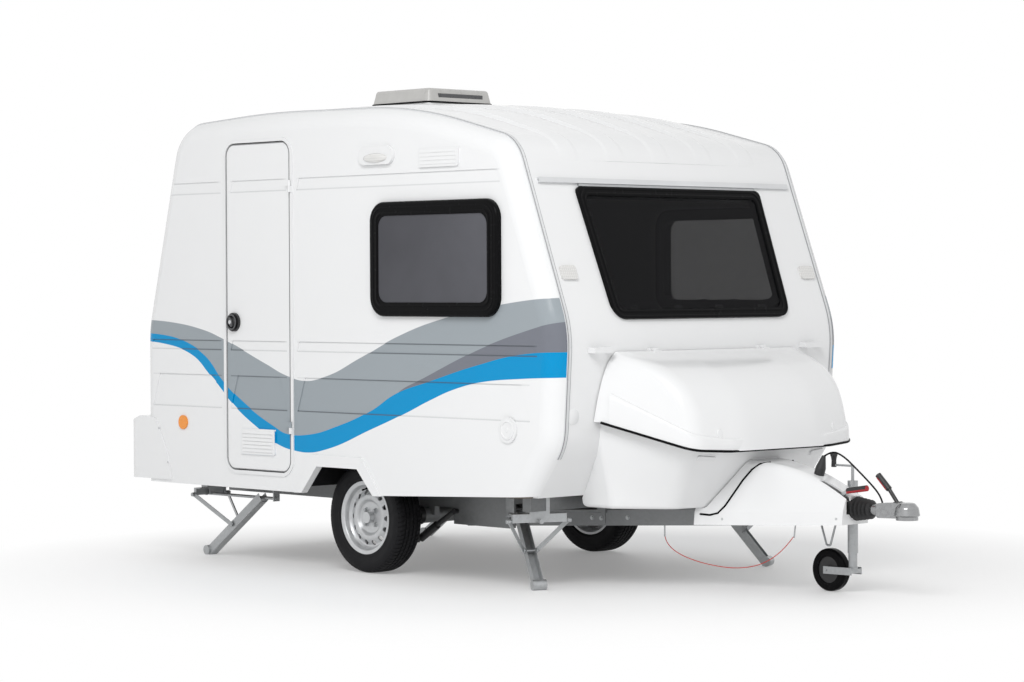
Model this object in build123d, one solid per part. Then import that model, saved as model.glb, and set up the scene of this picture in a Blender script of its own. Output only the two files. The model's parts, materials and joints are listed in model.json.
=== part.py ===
from math import cos, radians, sin, sqrt, tan
import os

from build123d import *

# A small touring caravan on a single axle, in millimetres. It is worked out about its axle:
# x = 0 on the axle and +x towards the coupling, +y to the left, z = 0 on the ground.
# Every node is then moved along x, so that the origin lies under the middle of the overall length.

# Overall reach and ground level
COUPLING_REACH = 2800.0  # axle to the tip of the coupling
REAR_X = -1650.0  # rear wall at its foot
BUMPER_OUT = 140.0  # rear bumper beyond the rear wall
BUMPER_REACH = BUMPER_OUT - REAR_X
LAMP_PROUD = 4.0  # rear lamps beyond the bumper
ORIGIN_SHIFT = (BUMPER_REACH + LAMP_PROUD - COUPLING_REACH) / 2
FIT = 0.3  # gap between curved faces that are seated on each other

# Body shell
BODY_HALF_W = 1000.0
EDGE_R = 95.0  # rounding of the side mouldings into the centre moulding
SEAM_IN = 85.0  # seam between those mouldings, in from the side
WALL = 30.0
THROUGH = 100.0  # how far a cut reaches past the wall it goes through
KNEE_X = 1528.0
KNEE_Z = 1218.0
BODY_PROFILE = [  # x, z, radius of that corner
    (REAR_X, 250.0, 120.0),
    (REAR_X, 1210.0, 600.0),
    (-1366.0, 2274.0, 220.0),
    (-630.0, 2313.0, 7000.0),
    (470.0, 2294.0, 3000.0),
    (1187.0, 2114.0, 200.0),
    (KNEE_X, KNEE_Z, 500.0),
    (1492.0, 690.0, 260.0),
    (1170.0, 250.0, 120.0),
]
FLOOR_Z = 440.0  # underside of the floor
FLOOR_T = 40.0
FRONT_ROOF_JOINT_Z = 1990.0
REAR_ROOF_JOINT_Z = 2100.0
SILL_FRONT_Z = 452.0
SILL_MID_Z = 405.0
SILL_REAR_Z = 392.0

# Roof
ROOF_CROWN = 34.0
ROOF_RIBS = 5
ROOF_RIB_PITCH = 310.0
ROOF_RIB_W = 130.0
ROOF_RIB_SLOPE = 22.0  # width of a rib's sloping flank
ROOF_RIB_H = 14.0
CROWN_STEPS = [  # place along the roof from one end, part of the crown's rise there
    (0.00, 0.06), (0.05, 0.35), (0.11, 0.75), (0.20, 1.0), (0.40, 1.0), (0.60, 1.0), (0.80, 1.0), (0.88, 0.8),
    (0.95, 0.35), (1.00, 0.06),
]

# Wheels and axle
TYRE_R = 276.0
TYRE_W = 165.0
TRACK = 1570.0
RIM_R = 182.0
RIM_BORE_R = 28.0
RIM_HOLES = 14
RIM_HOLE_R = 13.0
RIM_HOLE_PITCH_R = 128.0
ARCH_BOX_T = 8.0
AXLE_TUBE_R = 42.0
AXLE_TUBE_X = 150.0
DRUM_R = 112.0
STUB_R = 20.0
STUB_FIT = 0.05

# Door
DOOR_X0, DOOR_X1 = -938.0, -372.0
DOOR_Z0, DOOR_Z1 = 466.0, 2181.0
DOOR_R = 85.0
DOOR_BAND = 24.0
DOOR_GAP = 5.0
DOOR_HINGE_OUT = 14.0  # hinge axis beyond the outer face of the wall
DOOR_HINGE_R = 7.0
LOCK_X, LOCK_Z, LOCK_R = -850.0, 1245.0, 48.0
VENT_X, VENT_Z, VENT_W, VENT_H = -655.0, 636.0, 276.0, 132.0

# Windows
SIDE_WIN_X0, SIDE_WIN_X1 = 246.0, 1158.0
SIDE_WIN_Z0, SIDE_WIN_Z1 = 1280.0, 1834.0
SIDE_WIN_R = 95.0
WIN_BAND = 46.0
WIN_PROUD = 14.0
SIDE_WIN_BAND = 68.0
SIDE_WIN_PROUD = 30.0
SIDE_WIN_EDGE_R = 15.0
PANE_T = 8.0
FRONT_WIN_TOP_W, FRONT_WIN_BOT_W = 1284.0, 1228.0
FRONT_WIN_LOW, FRONT_WIN_HIGH = 1266.0, 1888.0  # heights of its lower and upper edges
REAR_WIN_W, REAR_WIN_H = 1200.0, 520.0
REAR_WIN_Z = 1620.0

# Shallow flutes pressed into the sides and the door
FLUTE_DEPTH = 5.0
FLUTE_CLEAR = 27.0  # from the ends of the flutes to the door frame
FLUTES = [  # low edge, high edge, rear end, front end
    (800.0, 970.0, -1560.0, 1345.0),
    (1100.0, 1150.0, -1575.0, 1395.0),
    (1910.0, 1970.0, -1400.0, 1150.0),
]

# Front locker
BOX_GAP = 6.0  # seal between tub and lid
BOX_WALL = 12.0
LID_SPLIT_WALL_Z, LID_SPLIT_NOSE_Z = 790.0, 657.0  # height of the joint at the wall and at the nose
LOCKER_BACK = 1300.0
LOCKER_WALL_R, LOCKER_CORNER_R, LOCKER_NOSE_R = 60.0, 110.0, 500.0
TUB_EDGE_R = 24.0
# Outlines: height, half width at the wall, half width at the front, x of the front corners, x of the nose
TUB_OUTLINES = [
    (385.0, 612.0, 430.0, 1715.0, 1755.0),
    (560.0, 655.0, 480.0, 1815.0, 1862.0),
    (690.0, 690.0, 515.0, 1876.0, 1934.0),
    (860.0, 700.0, 525.0, 1890.0, 1945.0),
]
LID_OUTLINES = [
    (640.0, 763.0, 555.0, 1960.0, 2010.0),
    (720.0, 759.0, 552.0, 1952.0, 2002.0),
    (840.0, 748.0, 548.0, 1930.0, 1976.0),
    (970.0, 722.0, 566.0, 1856.0, 1896.0),
    (1060.0, 690.0, 584.0, 1722.0, 1752.0),
    (1118.0, 656.0, 600.0, 1556.0, 1566.0),
]
HINGE_PIN_R = 4.0
HINGE_FIT = 0.08

# Chassis
RAIL_Y = 560.0
RAIL_W = 44.0
ARM_W = 40.0
ARM_H = 76.0
ARM_TAIL = (450.0, RAIL_Y, 284.0)
ARM_NOSE = (2400.0, 52.0, 368.0)
RAIL_Z0 = 330.0
AXLE_TUBE_Z = RAIL_Z0 - AXLE_TUBE_R - 3
DAMPER_Y = 596.0
CROSS_MEMBERS = [  # x of the middle, half length across, underside
    (-1365.0, 840.0, 385.0),
    (-760.0, RAIL_Y, 385.0),
    (480.0, RAIL_Y, 340.0),
    (1196.0, 880.0, 372.0),
]

# Corner steadies
STEADY_H_Z = 325.0  # height of the strut hinge and of the screw
FOOT_R = 25.0
STEADY_UP = 5.0  # angle of strut and leg to the ground, wound up
LEG_HALF_W = 24.0
LEG_T = 3.0
LEG_DEPTH = 44.0
SCREW_R = 8.0
PIN_R = 6.0
PIN_FIT = 0.1
SCREW_SPARE = 44.0  # screw beyond the head of the wound up leg
# name, hinge x, hinge y, heading of the screw from the hinge, angle of strut and leg let down,
# half spread of the eyes
STEADIES = [
    ("front_right", 1196.0, -804.0, 155.0, 50.0, 146.0),
    ("front_left", 1196.0, 804.0, -155.0, 50.0, 146.0),
    ("rear_right", -1365.0, -770.0, 0.0, 35.0, 112.0),
    ("rear_left", -1365.0, 770.0, 0.0, 35.0, 112.0),
]

# Jockey wheel
JOCKEY_X, JOCKEY_Y = 2320.0, 128.0
JOCKEY_TUBE_R = 24.0
JOCKEY_INNER_R = 20.5
JOCKEY_SLEEVE_R = 21.0
JOCKEY_R = 100.0
JOCKEY_W = 50.0
JOCKEY_TRAIL = 130.0
BOW_R = 5.0  # wire bow over the wheel

# Coupling
DRAW_Z = 405.0
DRAW_R = 25.0
BALL_X = 2742.0
BALL_R = 25.2
BALL_Z = 392.0
SOCKET_Z = 368.0  # rim of the socket
HEAD_TOP_Z = 446.0
BELLOWS_X0, BELLOWS_X1 = 2446.0, 2547.0
FOLDS = 5
LEVER_Y = -46.0

# Cover over the drawbar
COVER_T = 7.0
COVER_SECTIONS = [  # x, half width at the foot, half width at the top, foot height, top height
    (1640.0, 298.0, 190.0, 302.0, 588.0),
    (2090.0, 182.0, 92.0, 318.0, 586.0),
    (2440.0, 92.0, 60.0, 333.0, 462.0),
]

# Bumper, lamps and fittings
BUMPER_HALF_W = BODY_HALF_W + 8
BUMPER_Z0, BUMPER_Z1 = 408.0, 742.0
BUMPER_BOW = 20.0  # the middle of its rear face beyond its corners
LAMP_Y, LAMP_Z = 700.0, 548.0
AWNING_Z = 1914.0
AWNING_LENGTH = 1740.0
HANDLE_Y, HANDLE_Z = 736.0, 1128.0

# Cords
CABLE_R = 4.2
BREAK_R = 2.0
CABLE_POINTS = [
    (2430.0, 66.0, 372.0), (2505.0, 72.0, 372.0), (2556.0, 66.0, 410.0), (2540.0, 56.0, 470.0),
    (2482.0, 46.0, 528.0), (2412.0, 36.0, 588.0), (2352.0, 24.0, 640.0), (2292.0, 12.0, 662.0),
    (2252.0, 4.0, 634.0),
]
BREAK_POINTS = [
    (1525.0, -295.0, 246.0), (1528.0, -293.0, 222.0), (1556.0, -284.0, 186.0), (1604.0, -270.0, 157.0),
    (1660.0, -255.0, 138.0), (1718.0, -241.0, 124.0), (1776.0, -226.0, 115.0), (1836.0, -211.0, 109.0),
    (1896.0, -196.0, 109.0), (1954.0, -181.0, 116.0), (2010.0, -167.0, 131.0), (2062.0, -154.0, 156.0),
    (2108.0, -142.0, 190.0), (2148.0, -131.0, 230.0), (2178.0, -123.0, 268.0),
]
PLUG_FOOT, PLUG_HEAD = (2226.0, 0.0, 549.0), (2253.0, 4.0, 640.0)

# Roof hatch
HATCH_X = -440.0
HATCH_W = 450.0
HATCH_FRAME_H = 38.0
HATCH_DOME_H = 76.0


def block(x0, x1, y0, y1, z0, z1):
    return Pos((x0 + x1) / 2, (y0 + y1) / 2, (z0 + z1) / 2) * Box(x1 - x0, y1 - y0, z1 - z0)


def rod(start, end, radius):
    a, b = Vector(*start), Vector(*end)
    return Plane(origin=(a + b) / 2, z_dir=b - a) * Cylinder(radius, (b - a).length)


# Flat bar between two points, its thickness along the direction side
def bar(start, end, width, thick, side):
    a, b = Vector(*start), Vector(*end)
    return Plane(origin=(a + b) / 2, x_dir=Vector(*side), z_dir=b - a) * Box(thick, width, (b - a).length)


# Closed outline from rows of x, y and the corner's radius
def rounded(rows):
    corners = [(x, y) for x, y, _ in rows]
    return make_face(FilletPolyline(*corners, radius=[r for _, _, r in rows], close=True))


def flat(points):
    return make_face(Polyline(*points, close=True))


def mirrored(shape):
    return shape.mirror(Plane.XZ)


def save(name, *shapes):
    solids = []
    for shape in shapes:
        solids += [Pos(ORIGIN_SHIFT, 0, 0) * solid for solid in shape.solids()]
    export_step(Compound(children=solids) if len(solids) > 1 else solids[0], f"parts/{name}.step")


# The body's outline pushed in by inset on every side
def hull(inset):
    face = rounded(BODY_PROFILE)
    if inset:
        face = offset(face, amount=-inset)
    half = BODY_HALF_W - inset
    solid = extrude(Plane.XZ * face, amount=half, both=True)
    rim = solid.edges().filter_by(lambda e: abs(abs(e.center().Y) - half) < 0.01)
    return fillet(rim, EDGE_R - inset)


# Plane on the outer face of the leaning front wall, x_dir to the left and its normal outwards
def front_plane(z):
    x0, z0 = BODY_PROFILE[5][:2]
    lean = (KNEE_X - x0) / (z0 - KNEE_Z)
    x = x0 + lean * (z0 - z)
    return Plane(origin=(x, 0, z), x_dir=(0, 1, 0), z_dir=(1, 0, lean))


# The same on the leaning rear wall
def rear_plane(z):
    x0, z0 = BODY_PROFILE[1][:2]
    x1, z1 = BODY_PROFILE[2][:2]
    lean = (x1 - x0) / (z1 - z0)
    return Plane(origin=(x0 + lean * (z - z0), 0, z), x_dir=(0, -1, 0), z_dir=(-1, 0, lean))


os.makedirs("parts", exist_ok=True)

# Body shell, split along the seams between the side mouldings and the centre moulding
outer = hull(0)
seat = hull(-FIT)
shell = outer - hull(WALL)
seam_y = BODY_HALF_W - SEAM_IN
arch_top_z = 530.0
arch_opening = [(-308.0, SILL_REAR_Z), (-187.0, arch_top_z), (122.0, arch_top_z), (240.0, SILL_MID_Z)]
under = [(-2000, 0), (-2000, SILL_REAR_Z), *arch_opening]
under += [(KNEE_X, SILL_FRONT_Z + 8), (2000, SILL_FRONT_Z), (2000, 0)]
under_cut = extrude(Plane.XZ * flat(under), amount=BODY_HALF_W + THROUGH, both=True)
side_left = shell & block(-2000, 2000, seam_y, BODY_HALF_W + THROUGH, 0, 3000)
side_left -= under_cut
arch_lip = 58.0
lip_proud = 10.0
lip_outer = [
    (-308.0 - arch_lip, SILL_REAR_Z),
    (-187.0 - arch_lip * 0.6, arch_top_z + arch_lip),
    (122.0 + arch_lip * 0.6, arch_top_z + arch_lip),
    (240.0 + arch_lip, SILL_MID_Z),
]
lip_inner = flat([(-308.0, 300.0), *arch_opening, (240.0, 300.0)])
lip = extrude(Plane.XZ * (flat(lip_outer) - lip_inner), amount=-lip_proud)
lip = Pos(0, BODY_HALF_W, 0) * lip
side_left += lip
side_right = mirrored(side_left)

door_w, door_h = DOOR_X1 - DOOR_X0, DOOR_Z1 - DOOR_Z0
door_x, door_z = (DOOR_X0 + DOOR_X1) / 2, (DOOR_Z0 + DOOR_Z1) / 2
win_w, win_h = SIDE_WIN_X1 - SIDE_WIN_X0, SIDE_WIN_Z1 - SIDE_WIN_Z0
win_x, win_z = (SIDE_WIN_X0 + SIDE_WIN_X1) / 2, (SIDE_WIN_Z0 + SIDE_WIN_Z1) / 2


def side_rect(x, z, width, height, radius, y0, y1):
    face = Plane.XZ * Pos(x, z) * RectangleRounded(width, height, radius)
    return Pos(0, y0, 0) * extrude(face, amount=-(y1 - y0))


# How far the flange of a frame reaches over the edge of its opening
flange_over = 10.0
door_hole_w, door_hole_h = door_w - 2 * flange_over, door_h - 2 * flange_over
win_hole_w, win_hole_h = win_w - 2 * flange_over, win_h - 2 * flange_over
cut_y = (BODY_HALF_W - THROUGH, BODY_HALF_W + THROUGH)
door_hole = mirrored(side_rect(door_x, door_z, door_hole_w, door_hole_h, DOOR_R, *cut_y))
win_hole = side_rect(win_x, win_z, win_hole_w, win_hole_h, SIDE_WIN_R, *cut_y)


def flute(x0, x1, z0, z1):
    slant = (z1 - z0) * 0.35
    face = flat([(x0, z0), (x1, z0), (x1 - slant, z1), (x0 + slant, z1)])
    return Pos(0, BODY_HALF_W, 0) * extrude(Plane.XZ * face, amount=FLUTE_DEPTH + 20) - block(
        -2000, 2000, 0, BODY_HALF_W - FLUTE_DEPTH, 0, 3000)


side_left -= win_hole
side_right -= mirrored(win_hole) + door_hole
for z0, z1, back_x, front_x in FLUTES:
    side_left -= flute(back_x, front_x, z0, z1)
    side_right -= mirrored(flute(back_x, DOOR_X0 - FLUTE_CLEAR, z0, z1))
    side_right -= mirrored(flute(DOOR_X1 + FLUTE_CLEAR, front_x, z0, z1))
save("side_wall_left", side_left)
save("side_wall_right", side_right)

centre = shell & block(-2000, 2000, -seam_y, seam_y, FLOOR_Z, 3000)
front_wall = centre & block(0, 2000, -1200, 1200, FLOOR_Z + 2, FRONT_ROOF_JOINT_Z)
rear_wall = centre & block(-2000, 0, -1200, 1200, FLOOR_Z + 2, REAR_ROOF_JOINT_Z)
roof = centre & block(-1700, 1700, -1200, 1200, REAR_ROOF_JOINT_Z - 500, 3000)
roof -= block(0, 2000, -1200, 1200, 0, FRONT_ROOF_JOINT_Z)
roof -= block(-2000, 0, -1200, 1200, 0, REAR_ROOF_JOINT_Z)

front_lean = (KNEE_X - BODY_PROFILE[5][0]) / (BODY_PROFILE[5][1] - KNEE_Z)
front_win_h = (FRONT_WIN_HIGH - FRONT_WIN_LOW) * sqrt(1 + front_lean**2)
front_win_z = (FRONT_WIN_HIGH + FRONT_WIN_LOW) / 2


def trapezoid(top_w, bottom_w, height, inset, radius):
    t, b, h = top_w / 2 - inset, bottom_w / 2 - inset, height / 2 - inset
    return rounded([(-b, -h, radius), (b, -h, radius), (t, h, 30.0), (-t, h, 30.0)])


front_hole = extrude(
    front_plane(front_win_z) * trapezoid(FRONT_WIN_TOP_W, FRONT_WIN_BOT_W, front_win_h, flange_over, 90.0),
    amount=80, both=True,
)
rear_hole = extrude(
    rear_plane(REAR_WIN_Z) * trapezoid(REAR_WIN_W, REAR_WIN_W, REAR_WIN_H, flange_over, 90.0),
    amount=80, both=True,
)
save("rear_wall", rear_wall - rear_hole)

# Crown of the roof: a shallow arch of the same rise over the whole flat of the roof, run out at both ends
crown_half = seam_y - 25.0
roof_line = Wire([e for e in rounded(BODY_PROFILE).edges() if e.center().Y > 2000])


def crown_section(place, part):
    points = [(-crown_half, -20), (-crown_half, -4)]
    for k in range(ROOF_RIBS):
        y = (k - (ROOF_RIBS - 1) / 2) * ROOF_RIB_PITCH
        for step, up in ((-ROOF_RIB_W / 2, 0), (ROOF_RIB_SLOPE - ROOF_RIB_W / 2, 1),
                         (ROOF_RIB_W / 2 - ROOF_RIB_SLOPE, 1), (ROOF_RIB_W / 2, 0)):
            arch = (ROOF_CROWN * part + 4) * (1 - ((y + step) / crown_half) ** 2) - 4
            points.append((y + step, arch + up * ROOF_RIB_H * part))
    face = flat([*points, (crown_half, -4), (crown_half, -20)])
    at, along = roof_line @ place, roof_line % place
    along = along if along.X > 0 else along * -1
    return Plane(origin=(at.X, 0, at.Y), x_dir=(0, 1, 0), z_dir=(along.X, 0, along.Y)) * face


crown = loft([crown_section(place, part) for place, part in CROWN_STEPS])
hatch_hole = block(HATCH_X - 200, HATCH_X + 200, -200, 200, 2200, 2600)
roof_panel = roof + (crown - hull(WALL - 5))
roof_panel -= hatch_hole
save("roof_panel", roof_panel)

wheel_box_x = (-345.0, 325.0)
wheel_box_y = (655.0, BODY_HALF_W - WALL - 1)
wheel_box_z = 640.0
box_l = block(*wheel_box_x, *wheel_box_y, FLOOR_Z - 20, wheel_box_z)
t = ARCH_BOX_T
box_l -= block(wheel_box_x[0] + t, wheel_box_x[1] - t, wheel_box_y[0] + t, 1200, 0, wheel_box_z - t)
save("wheel_boxes", box_l, mirrored(box_l))

floor = hull(WALL + FIT) & block(-2000, 2000, -1200, 1200, FLOOR_Z, FLOOR_Z + FLOOR_T)
floor_cut = block(wheel_box_x[0], wheel_box_x[1], wheel_box_y[0], 1200, 0, 1000)
save("floor_panel", floor - floor_cut - mirrored(floor_cut))
print("body done")

# Window frames and panes
def side_window():
    face_y = BODY_HALF_W + SIDE_WIN_PROUD
    ring = side_rect(win_x, win_z, win_w, win_h, SIDE_WIN_R, BODY_HALF_W, face_y)
    ring = fillet(ring.faces().sort_by(Axis.Y)[-1].edges(), SIDE_WIN_EDGE_R)
    neck = side_rect(win_x, win_z, win_hole_w, win_hole_h, SIDE_WIN_R, BODY_HALF_W - WALL, BODY_HALF_W)
    light_w, light_h, light_r = win_w - 2 * SIDE_WIN_BAND, win_h - 2 * SIDE_WIN_BAND, SIDE_WIN_R - 40
    light = side_rect(win_x, win_z, light_w, light_h, light_r, *cut_y)
    pane = side_rect(win_x, win_z, light_w, light_h, light_r, face_y - 4 - PANE_T, face_y - 4)
    return ring + neck - light, pane


def end_window(plane, top_w, bottom_w, height, radius):
    ring = extrude(plane * trapezoid(top_w, bottom_w, height, 0, radius), amount=WIN_PROUD)
    neck = extrude(plane * trapezoid(top_w, bottom_w, height, flange_over, radius), amount=-WALL)
    light = trapezoid(top_w, bottom_w, height, WIN_BAND, radius - 35)
    return ring + neck - extrude(plane * light, amount=60, both=True), extrude(plane * light, amount=PANE_T)


left_ring, left_pane = side_window()
front_ring, front_pane = end_window(
    front_plane(front_win_z), FRONT_WIN_TOP_W, FRONT_WIN_BOT_W, front_win_h, 90.0)
rear_ring, rear_pane = end_window(rear_plane(REAR_WIN_Z), REAR_WIN_W, REAR_WIN_W, REAR_WIN_H, 90.0)
save("window_frames", front_ring, mirrored(left_ring), left_ring, rear_ring)
save("window_panes", front_pane, mirrored(left_pane), left_pane, rear_pane)

# Door and the frame it closes into
leaf_w, leaf_h = door_w - 2 * DOOR_BAND, door_h - 2 * DOOR_BAND
leaf_r = DOOR_R - 20.0
frame_hole_w, frame_hole_h = leaf_w + 2 * DOOR_GAP, leaf_h + 2 * DOOR_GAP
door_flange = side_rect(door_x, door_z, door_w, door_h, DOOR_R + 8, -BODY_HALF_W - 6, -BODY_HALF_W)
door_flange += side_rect(door_x, door_z, door_hole_w, door_hole_h, DOOR_R, -BODY_HALF_W, -BODY_HALF_W + WALL)
door_flange -= mirrored(side_rect(door_x, door_z, frame_hole_w, frame_hole_h, leaf_r + DOOR_GAP, *cut_y))
hinge_x = door_x + frame_hole_w / 2 + 5.0
hinge_y = -BODY_HALF_W - DOOR_HINGE_OUT
for z in (DOOR_Z0 + 250, DOOR_Z1 - 250):
    barrel = rod((hinge_x, hinge_y, z - 30), (hinge_x, hinge_y, z), DOOR_HINGE_R)
    door_flange += barrel + block(hinge_x - 4, hinge_x + 12, hinge_y, -BODY_HALF_W - 5, z - 30, z)
save("door_frame", door_flange)
door_panel = side_rect(door_x, door_z, leaf_w, leaf_h, leaf_r, -BODY_HALF_W - 2, -BODY_HALF_W + WALL)
for z in (DOOR_Z0 + 250, DOOR_Z1 - 250):
    barrel = rod((hinge_x, hinge_y, z + 0.5), (hinge_x, hinge_y, z + 30), DOOR_HINGE_R)
    door_panel += barrel + block(hinge_x - 30, hinge_x, hinge_y - 3, hinge_y + 3, z + 0.5, z + 30)
    door_panel += block(hinge_x - 30, hinge_x - 16, hinge_y - 3, -BODY_HALF_W, z + 0.5, z + 30)
face_y = -BODY_HALF_W - 2
lock = rod((LOCK_X, face_y, LOCK_Z), (LOCK_X, face_y - 14, LOCK_Z), LOCK_R)
lock += rod((LOCK_X + 6, face_y - 14, LOCK_Z), (LOCK_X + 6, face_y - 24, LOCK_Z), 24.0)
for z0, z1, _, _ in FLUTES:
    groove = mirrored(flute(DOOR_X0 + DOOR_BAND + FLUTE_CLEAR, DOOR_X1 - DOOR_BAND - FLUTE_CLEAR, z0, z1))
    door_panel -= Pos(0, face_y + BODY_HALF_W, 0) * groove
door_panel += mirrored(side_rect(VENT_X, VENT_Z, VENT_W, VENT_H, 12, -face_y - 2, -face_y + 8))
save("door_panel", door_panel)
save("door_lock", lock)

# Roof hatch
hatch_z = 2336.0
hatch_half = HATCH_W / 2
curb_top = hatch_z + HATCH_FRAME_H
curb = block(HATCH_X - hatch_half, HATCH_X + hatch_half, -hatch_half, hatch_half, hatch_z - 18, curb_top)
curb -= block(HATCH_X - 199, HATCH_X + 199, -199, 199, 2200, 2600)
curb += block(HATCH_X - 199.5, HATCH_X + 199.5, -199.5, 199.5, hatch_z - 62, hatch_z) - block(
    HATCH_X - 190, HATCH_X + 190, -190, 190, 2200, 2600)
hatch_pin_x = HATCH_X - hatch_half - 21
hatch_pin_z = curb_top
dome_z = curb_top + 2
dome = extrude(RectangleRounded(HATCH_W + 14, HATCH_W + 14, 40), amount=HATCH_DOME_H, taper=15)
dome = fillet(dome.faces().sort_by(Axis.Z)[-1].edges(), 18)
dome -= extrude(RectangleRounded(HATCH_W - 8, HATCH_W - 8, 30), amount=HATCH_DOME_H - 9, taper=17)
dome = Pos(HATCH_X, 0, dome_z) * dome
for y in (-120, 120):
    curb += rod((hatch_pin_x, y - 24, hatch_pin_z), (hatch_pin_x, y + 24, hatch_pin_z), 4)
    for end in (y - 24, y + 16):
        curb += block(hatch_pin_x - 6, hatch_pin_x + 5, end, end + 8, hatch_pin_z - 14, hatch_pin_z + 6)
        curb += block(hatch_pin_x, HATCH_X - hatch_half + 4, end, end + 8, hatch_pin_z - 14, hatch_pin_z - 2)
    dome += rod((hatch_pin_x, y - 15, hatch_pin_z), (hatch_pin_x, y + 15, hatch_pin_z), 8)
    dome += block(hatch_pin_x, HATCH_X - hatch_half + 10, y - 15, y + 15, hatch_pin_z + 2, hatch_pin_z + 8)
    dome -= rod((hatch_pin_x, y - 40, hatch_pin_z), (hatch_pin_x, y + 40, hatch_pin_z), 4.08)
save("hatch_frame", curb - roof_panel)
save("hatch_dome", dome)

# Front locker: a tub under the knee of the front wall, closed by a bulging lid that hinges along its top edge


def locker(inset, rows):
    sections = []
    for z, wall_half, nose_half, corner_x, nose_x in rows:
        w, n, c, x = wall_half - inset, nose_half - inset * 0.8, corner_x - inset, nose_x - inset
        half = [(LOCKER_BACK, w, 0), (KNEE_X - 40, w, LOCKER_WALL_R), (c, n, LOCKER_CORNER_R)]
        half.append((x, n * 0.45, LOCKER_NOSE_R))
        face = rounded([(x, -y, r) for x, y, r in half] + half[::-1])
        sections.append(Pos(0, 0, z) * face)
    return loft(sections)


def locker_above(rise):
    points = [(LOCKER_BACK - 100, LID_SPLIT_WALL_Z), (KNEE_X, LID_SPLIT_WALL_Z), (1990, LID_SPLIT_NOSE_Z),
              (2300, LID_SPLIT_NOSE_Z), (2300, 1400), (LOCKER_BACK - 100, 1400)]
    return Pos(0, 0, rise) * extrude(Plane.XZ * flat(points), amount=1200, both=True)


tub_outer = locker(0, TUB_OUTLINES)
tub_outer = fillet(tub_outer.faces().sort_by(Axis.Z)[0].edges(), TUB_EDGE_R)
tub = tub_outer - Pos(0, 0, BOX_WALL) * locker(BOX_WALL, TUB_OUTLINES)
tub = tub - locker_above(0) - seat
tub_back = (locker(1, TUB_OUTLINES) - locker_above(0) - seat) & hull(-BOX_WALL)
tub += tub_back
save("locker_tub", tub)
lid_outer = locker(0, LID_OUTLINES)
lid = lid_outer - Pos(0, 0, -BOX_WALL) * locker(BOX_WALL, LID_OUTLINES)
lid = (lid & locker_above(BOX_GAP)) - hull(-BOX_GAP)
lid_hinge_x, lid_hinge_z = KNEE_X + 12, LID_OUTLINES[-1][0] + 6
front_wall -= front_hole
for y in (-380, 380):
    pin = rod((lid_hinge_x, y - 30, lid_hinge_z), (lid_hinge_x, y + 30, lid_hinge_z), HINGE_PIN_R)
    for end in (y - 30, y + 22):
        pin += block(KNEE_X - 30, lid_hinge_x + 6, end, end + 8, lid_hinge_z - 6, lid_hinge_z + 8)
    front_wall += pin
    lid -= rod((lid_hinge_x, y - 35, lid_hinge_z), (lid_hinge_x, y + 35, lid_hinge_z), 18)
    lid += rod((lid_hinge_x, y - 21, lid_hinge_z), (lid_hinge_x, y + 21, lid_hinge_z), 8)
    lid += block(lid_hinge_x, lid_hinge_x + 30, y - 21, y + 21, lid_hinge_z - 15, lid_hinge_z - 1)
    bore_r = HINGE_PIN_R + HINGE_FIT
    lid -= rod((lid_hinge_x, y - 40, lid_hinge_z), (lid_hinge_x, y + 40, lid_hinge_z), bore_r)
save("front_wall", front_wall)
save("locker_lid", lid)
print("locker done")

# Chassis: two rails under the floor, cross members, and two arms that run together to the coupling
arm_l = bar(ARM_TAIL, ARM_NOSE, ARM_H, ARM_W, (0.2487, 1, 0))
arms = arm_l + mirrored(arm_l)
rail_l = block(-1450, 760, RAIL_Y - RAIL_W / 2, RAIL_Y + RAIL_W / 2, RAIL_Z0, FLOOR_Z)
gusset_l = block(360, 760, RAIL_Y - RAIL_W / 2, RAIL_Y + RAIL_W / 2, 250, RAIL_Z0)
rails = rail_l + mirrored(rail_l) + gusset_l + mirrored(gusset_l)
members = [block(x - 28, x + 28, -half, half, z, FLOOR_Z) for x, half, z in CROSS_MEMBERS]
arm_post = block(1168, 1224, 330, 390, 340, 380)
members[-1] += arm_post + mirrored(arm_post)
members = [member - rails - arms for member in members]
arms -= rails
save("chassis_rails", rails)
save("drawbar_arms", arms)
save("cross_members", *members)
frame = rails + arms
for member in members:
    frame += member

# Axle with its trailing arms, dampers and brake rod
axle = rod((AXLE_TUBE_X, -620, AXLE_TUBE_Z), (AXLE_TUBE_X, 620, AXLE_TUBE_Z), AXLE_TUBE_R)
axle_lug = block(AXLE_TUBE_X - 60, AXLE_TUBE_X + 60, RAIL_Y - 16, RAIL_Y + 16, AXLE_TUBE_Z, RAIL_Z0)
axle += axle_lug + mirrored(axle_lug)
save("axle_beam", axle)
hub_y = TRACK / 2
arm_y0, arm_y1 = 620.0, 650.0
arm_mid = (arm_y0 + arm_y1) / 2
swing = bar((AXLE_TUBE_X, arm_mid, AXLE_TUBE_Z), (0, arm_mid, TYRE_R), 70, arm_y1 - arm_y0, (0, 1, 0))
swing += rod((AXLE_TUBE_X, arm_y0, AXLE_TUBE_Z), (AXLE_TUBE_X, arm_y1, AXLE_TUBE_Z), 48)
swing += rod((0, arm_y0, TYRE_R), (0, arm_y1, TYRE_R), 48) + block(112, 148, arm_y0, arm_y0 + 16, 148, 270)
swing += rod((0, arm_y1, TYRE_R), (0, arm_y1 + 8, TYRE_R), DRUM_R)
swing += rod((0, arm_y1, TYRE_R), (0, hub_y + 20, TYRE_R), STUB_R)
save("swing_arms", swing, mirrored(swing))
damper = rod((130, DAMPER_Y, 166), (250, DAMPER_Y, 240), 20)
damper += rod((240, DAMPER_Y, 234), (385, DAMPER_Y, 318), 13)
damper += rod((130, DAMPER_Y - 12, 166), (130, arm_y0, 166), 14)
damper += rod((385, RAIL_Y + RAIL_W / 2, 314), (385, DAMPER_Y + 12, 314), 13)
damper -= frame
save("dampers", damper, mirrored(damper))
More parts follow.
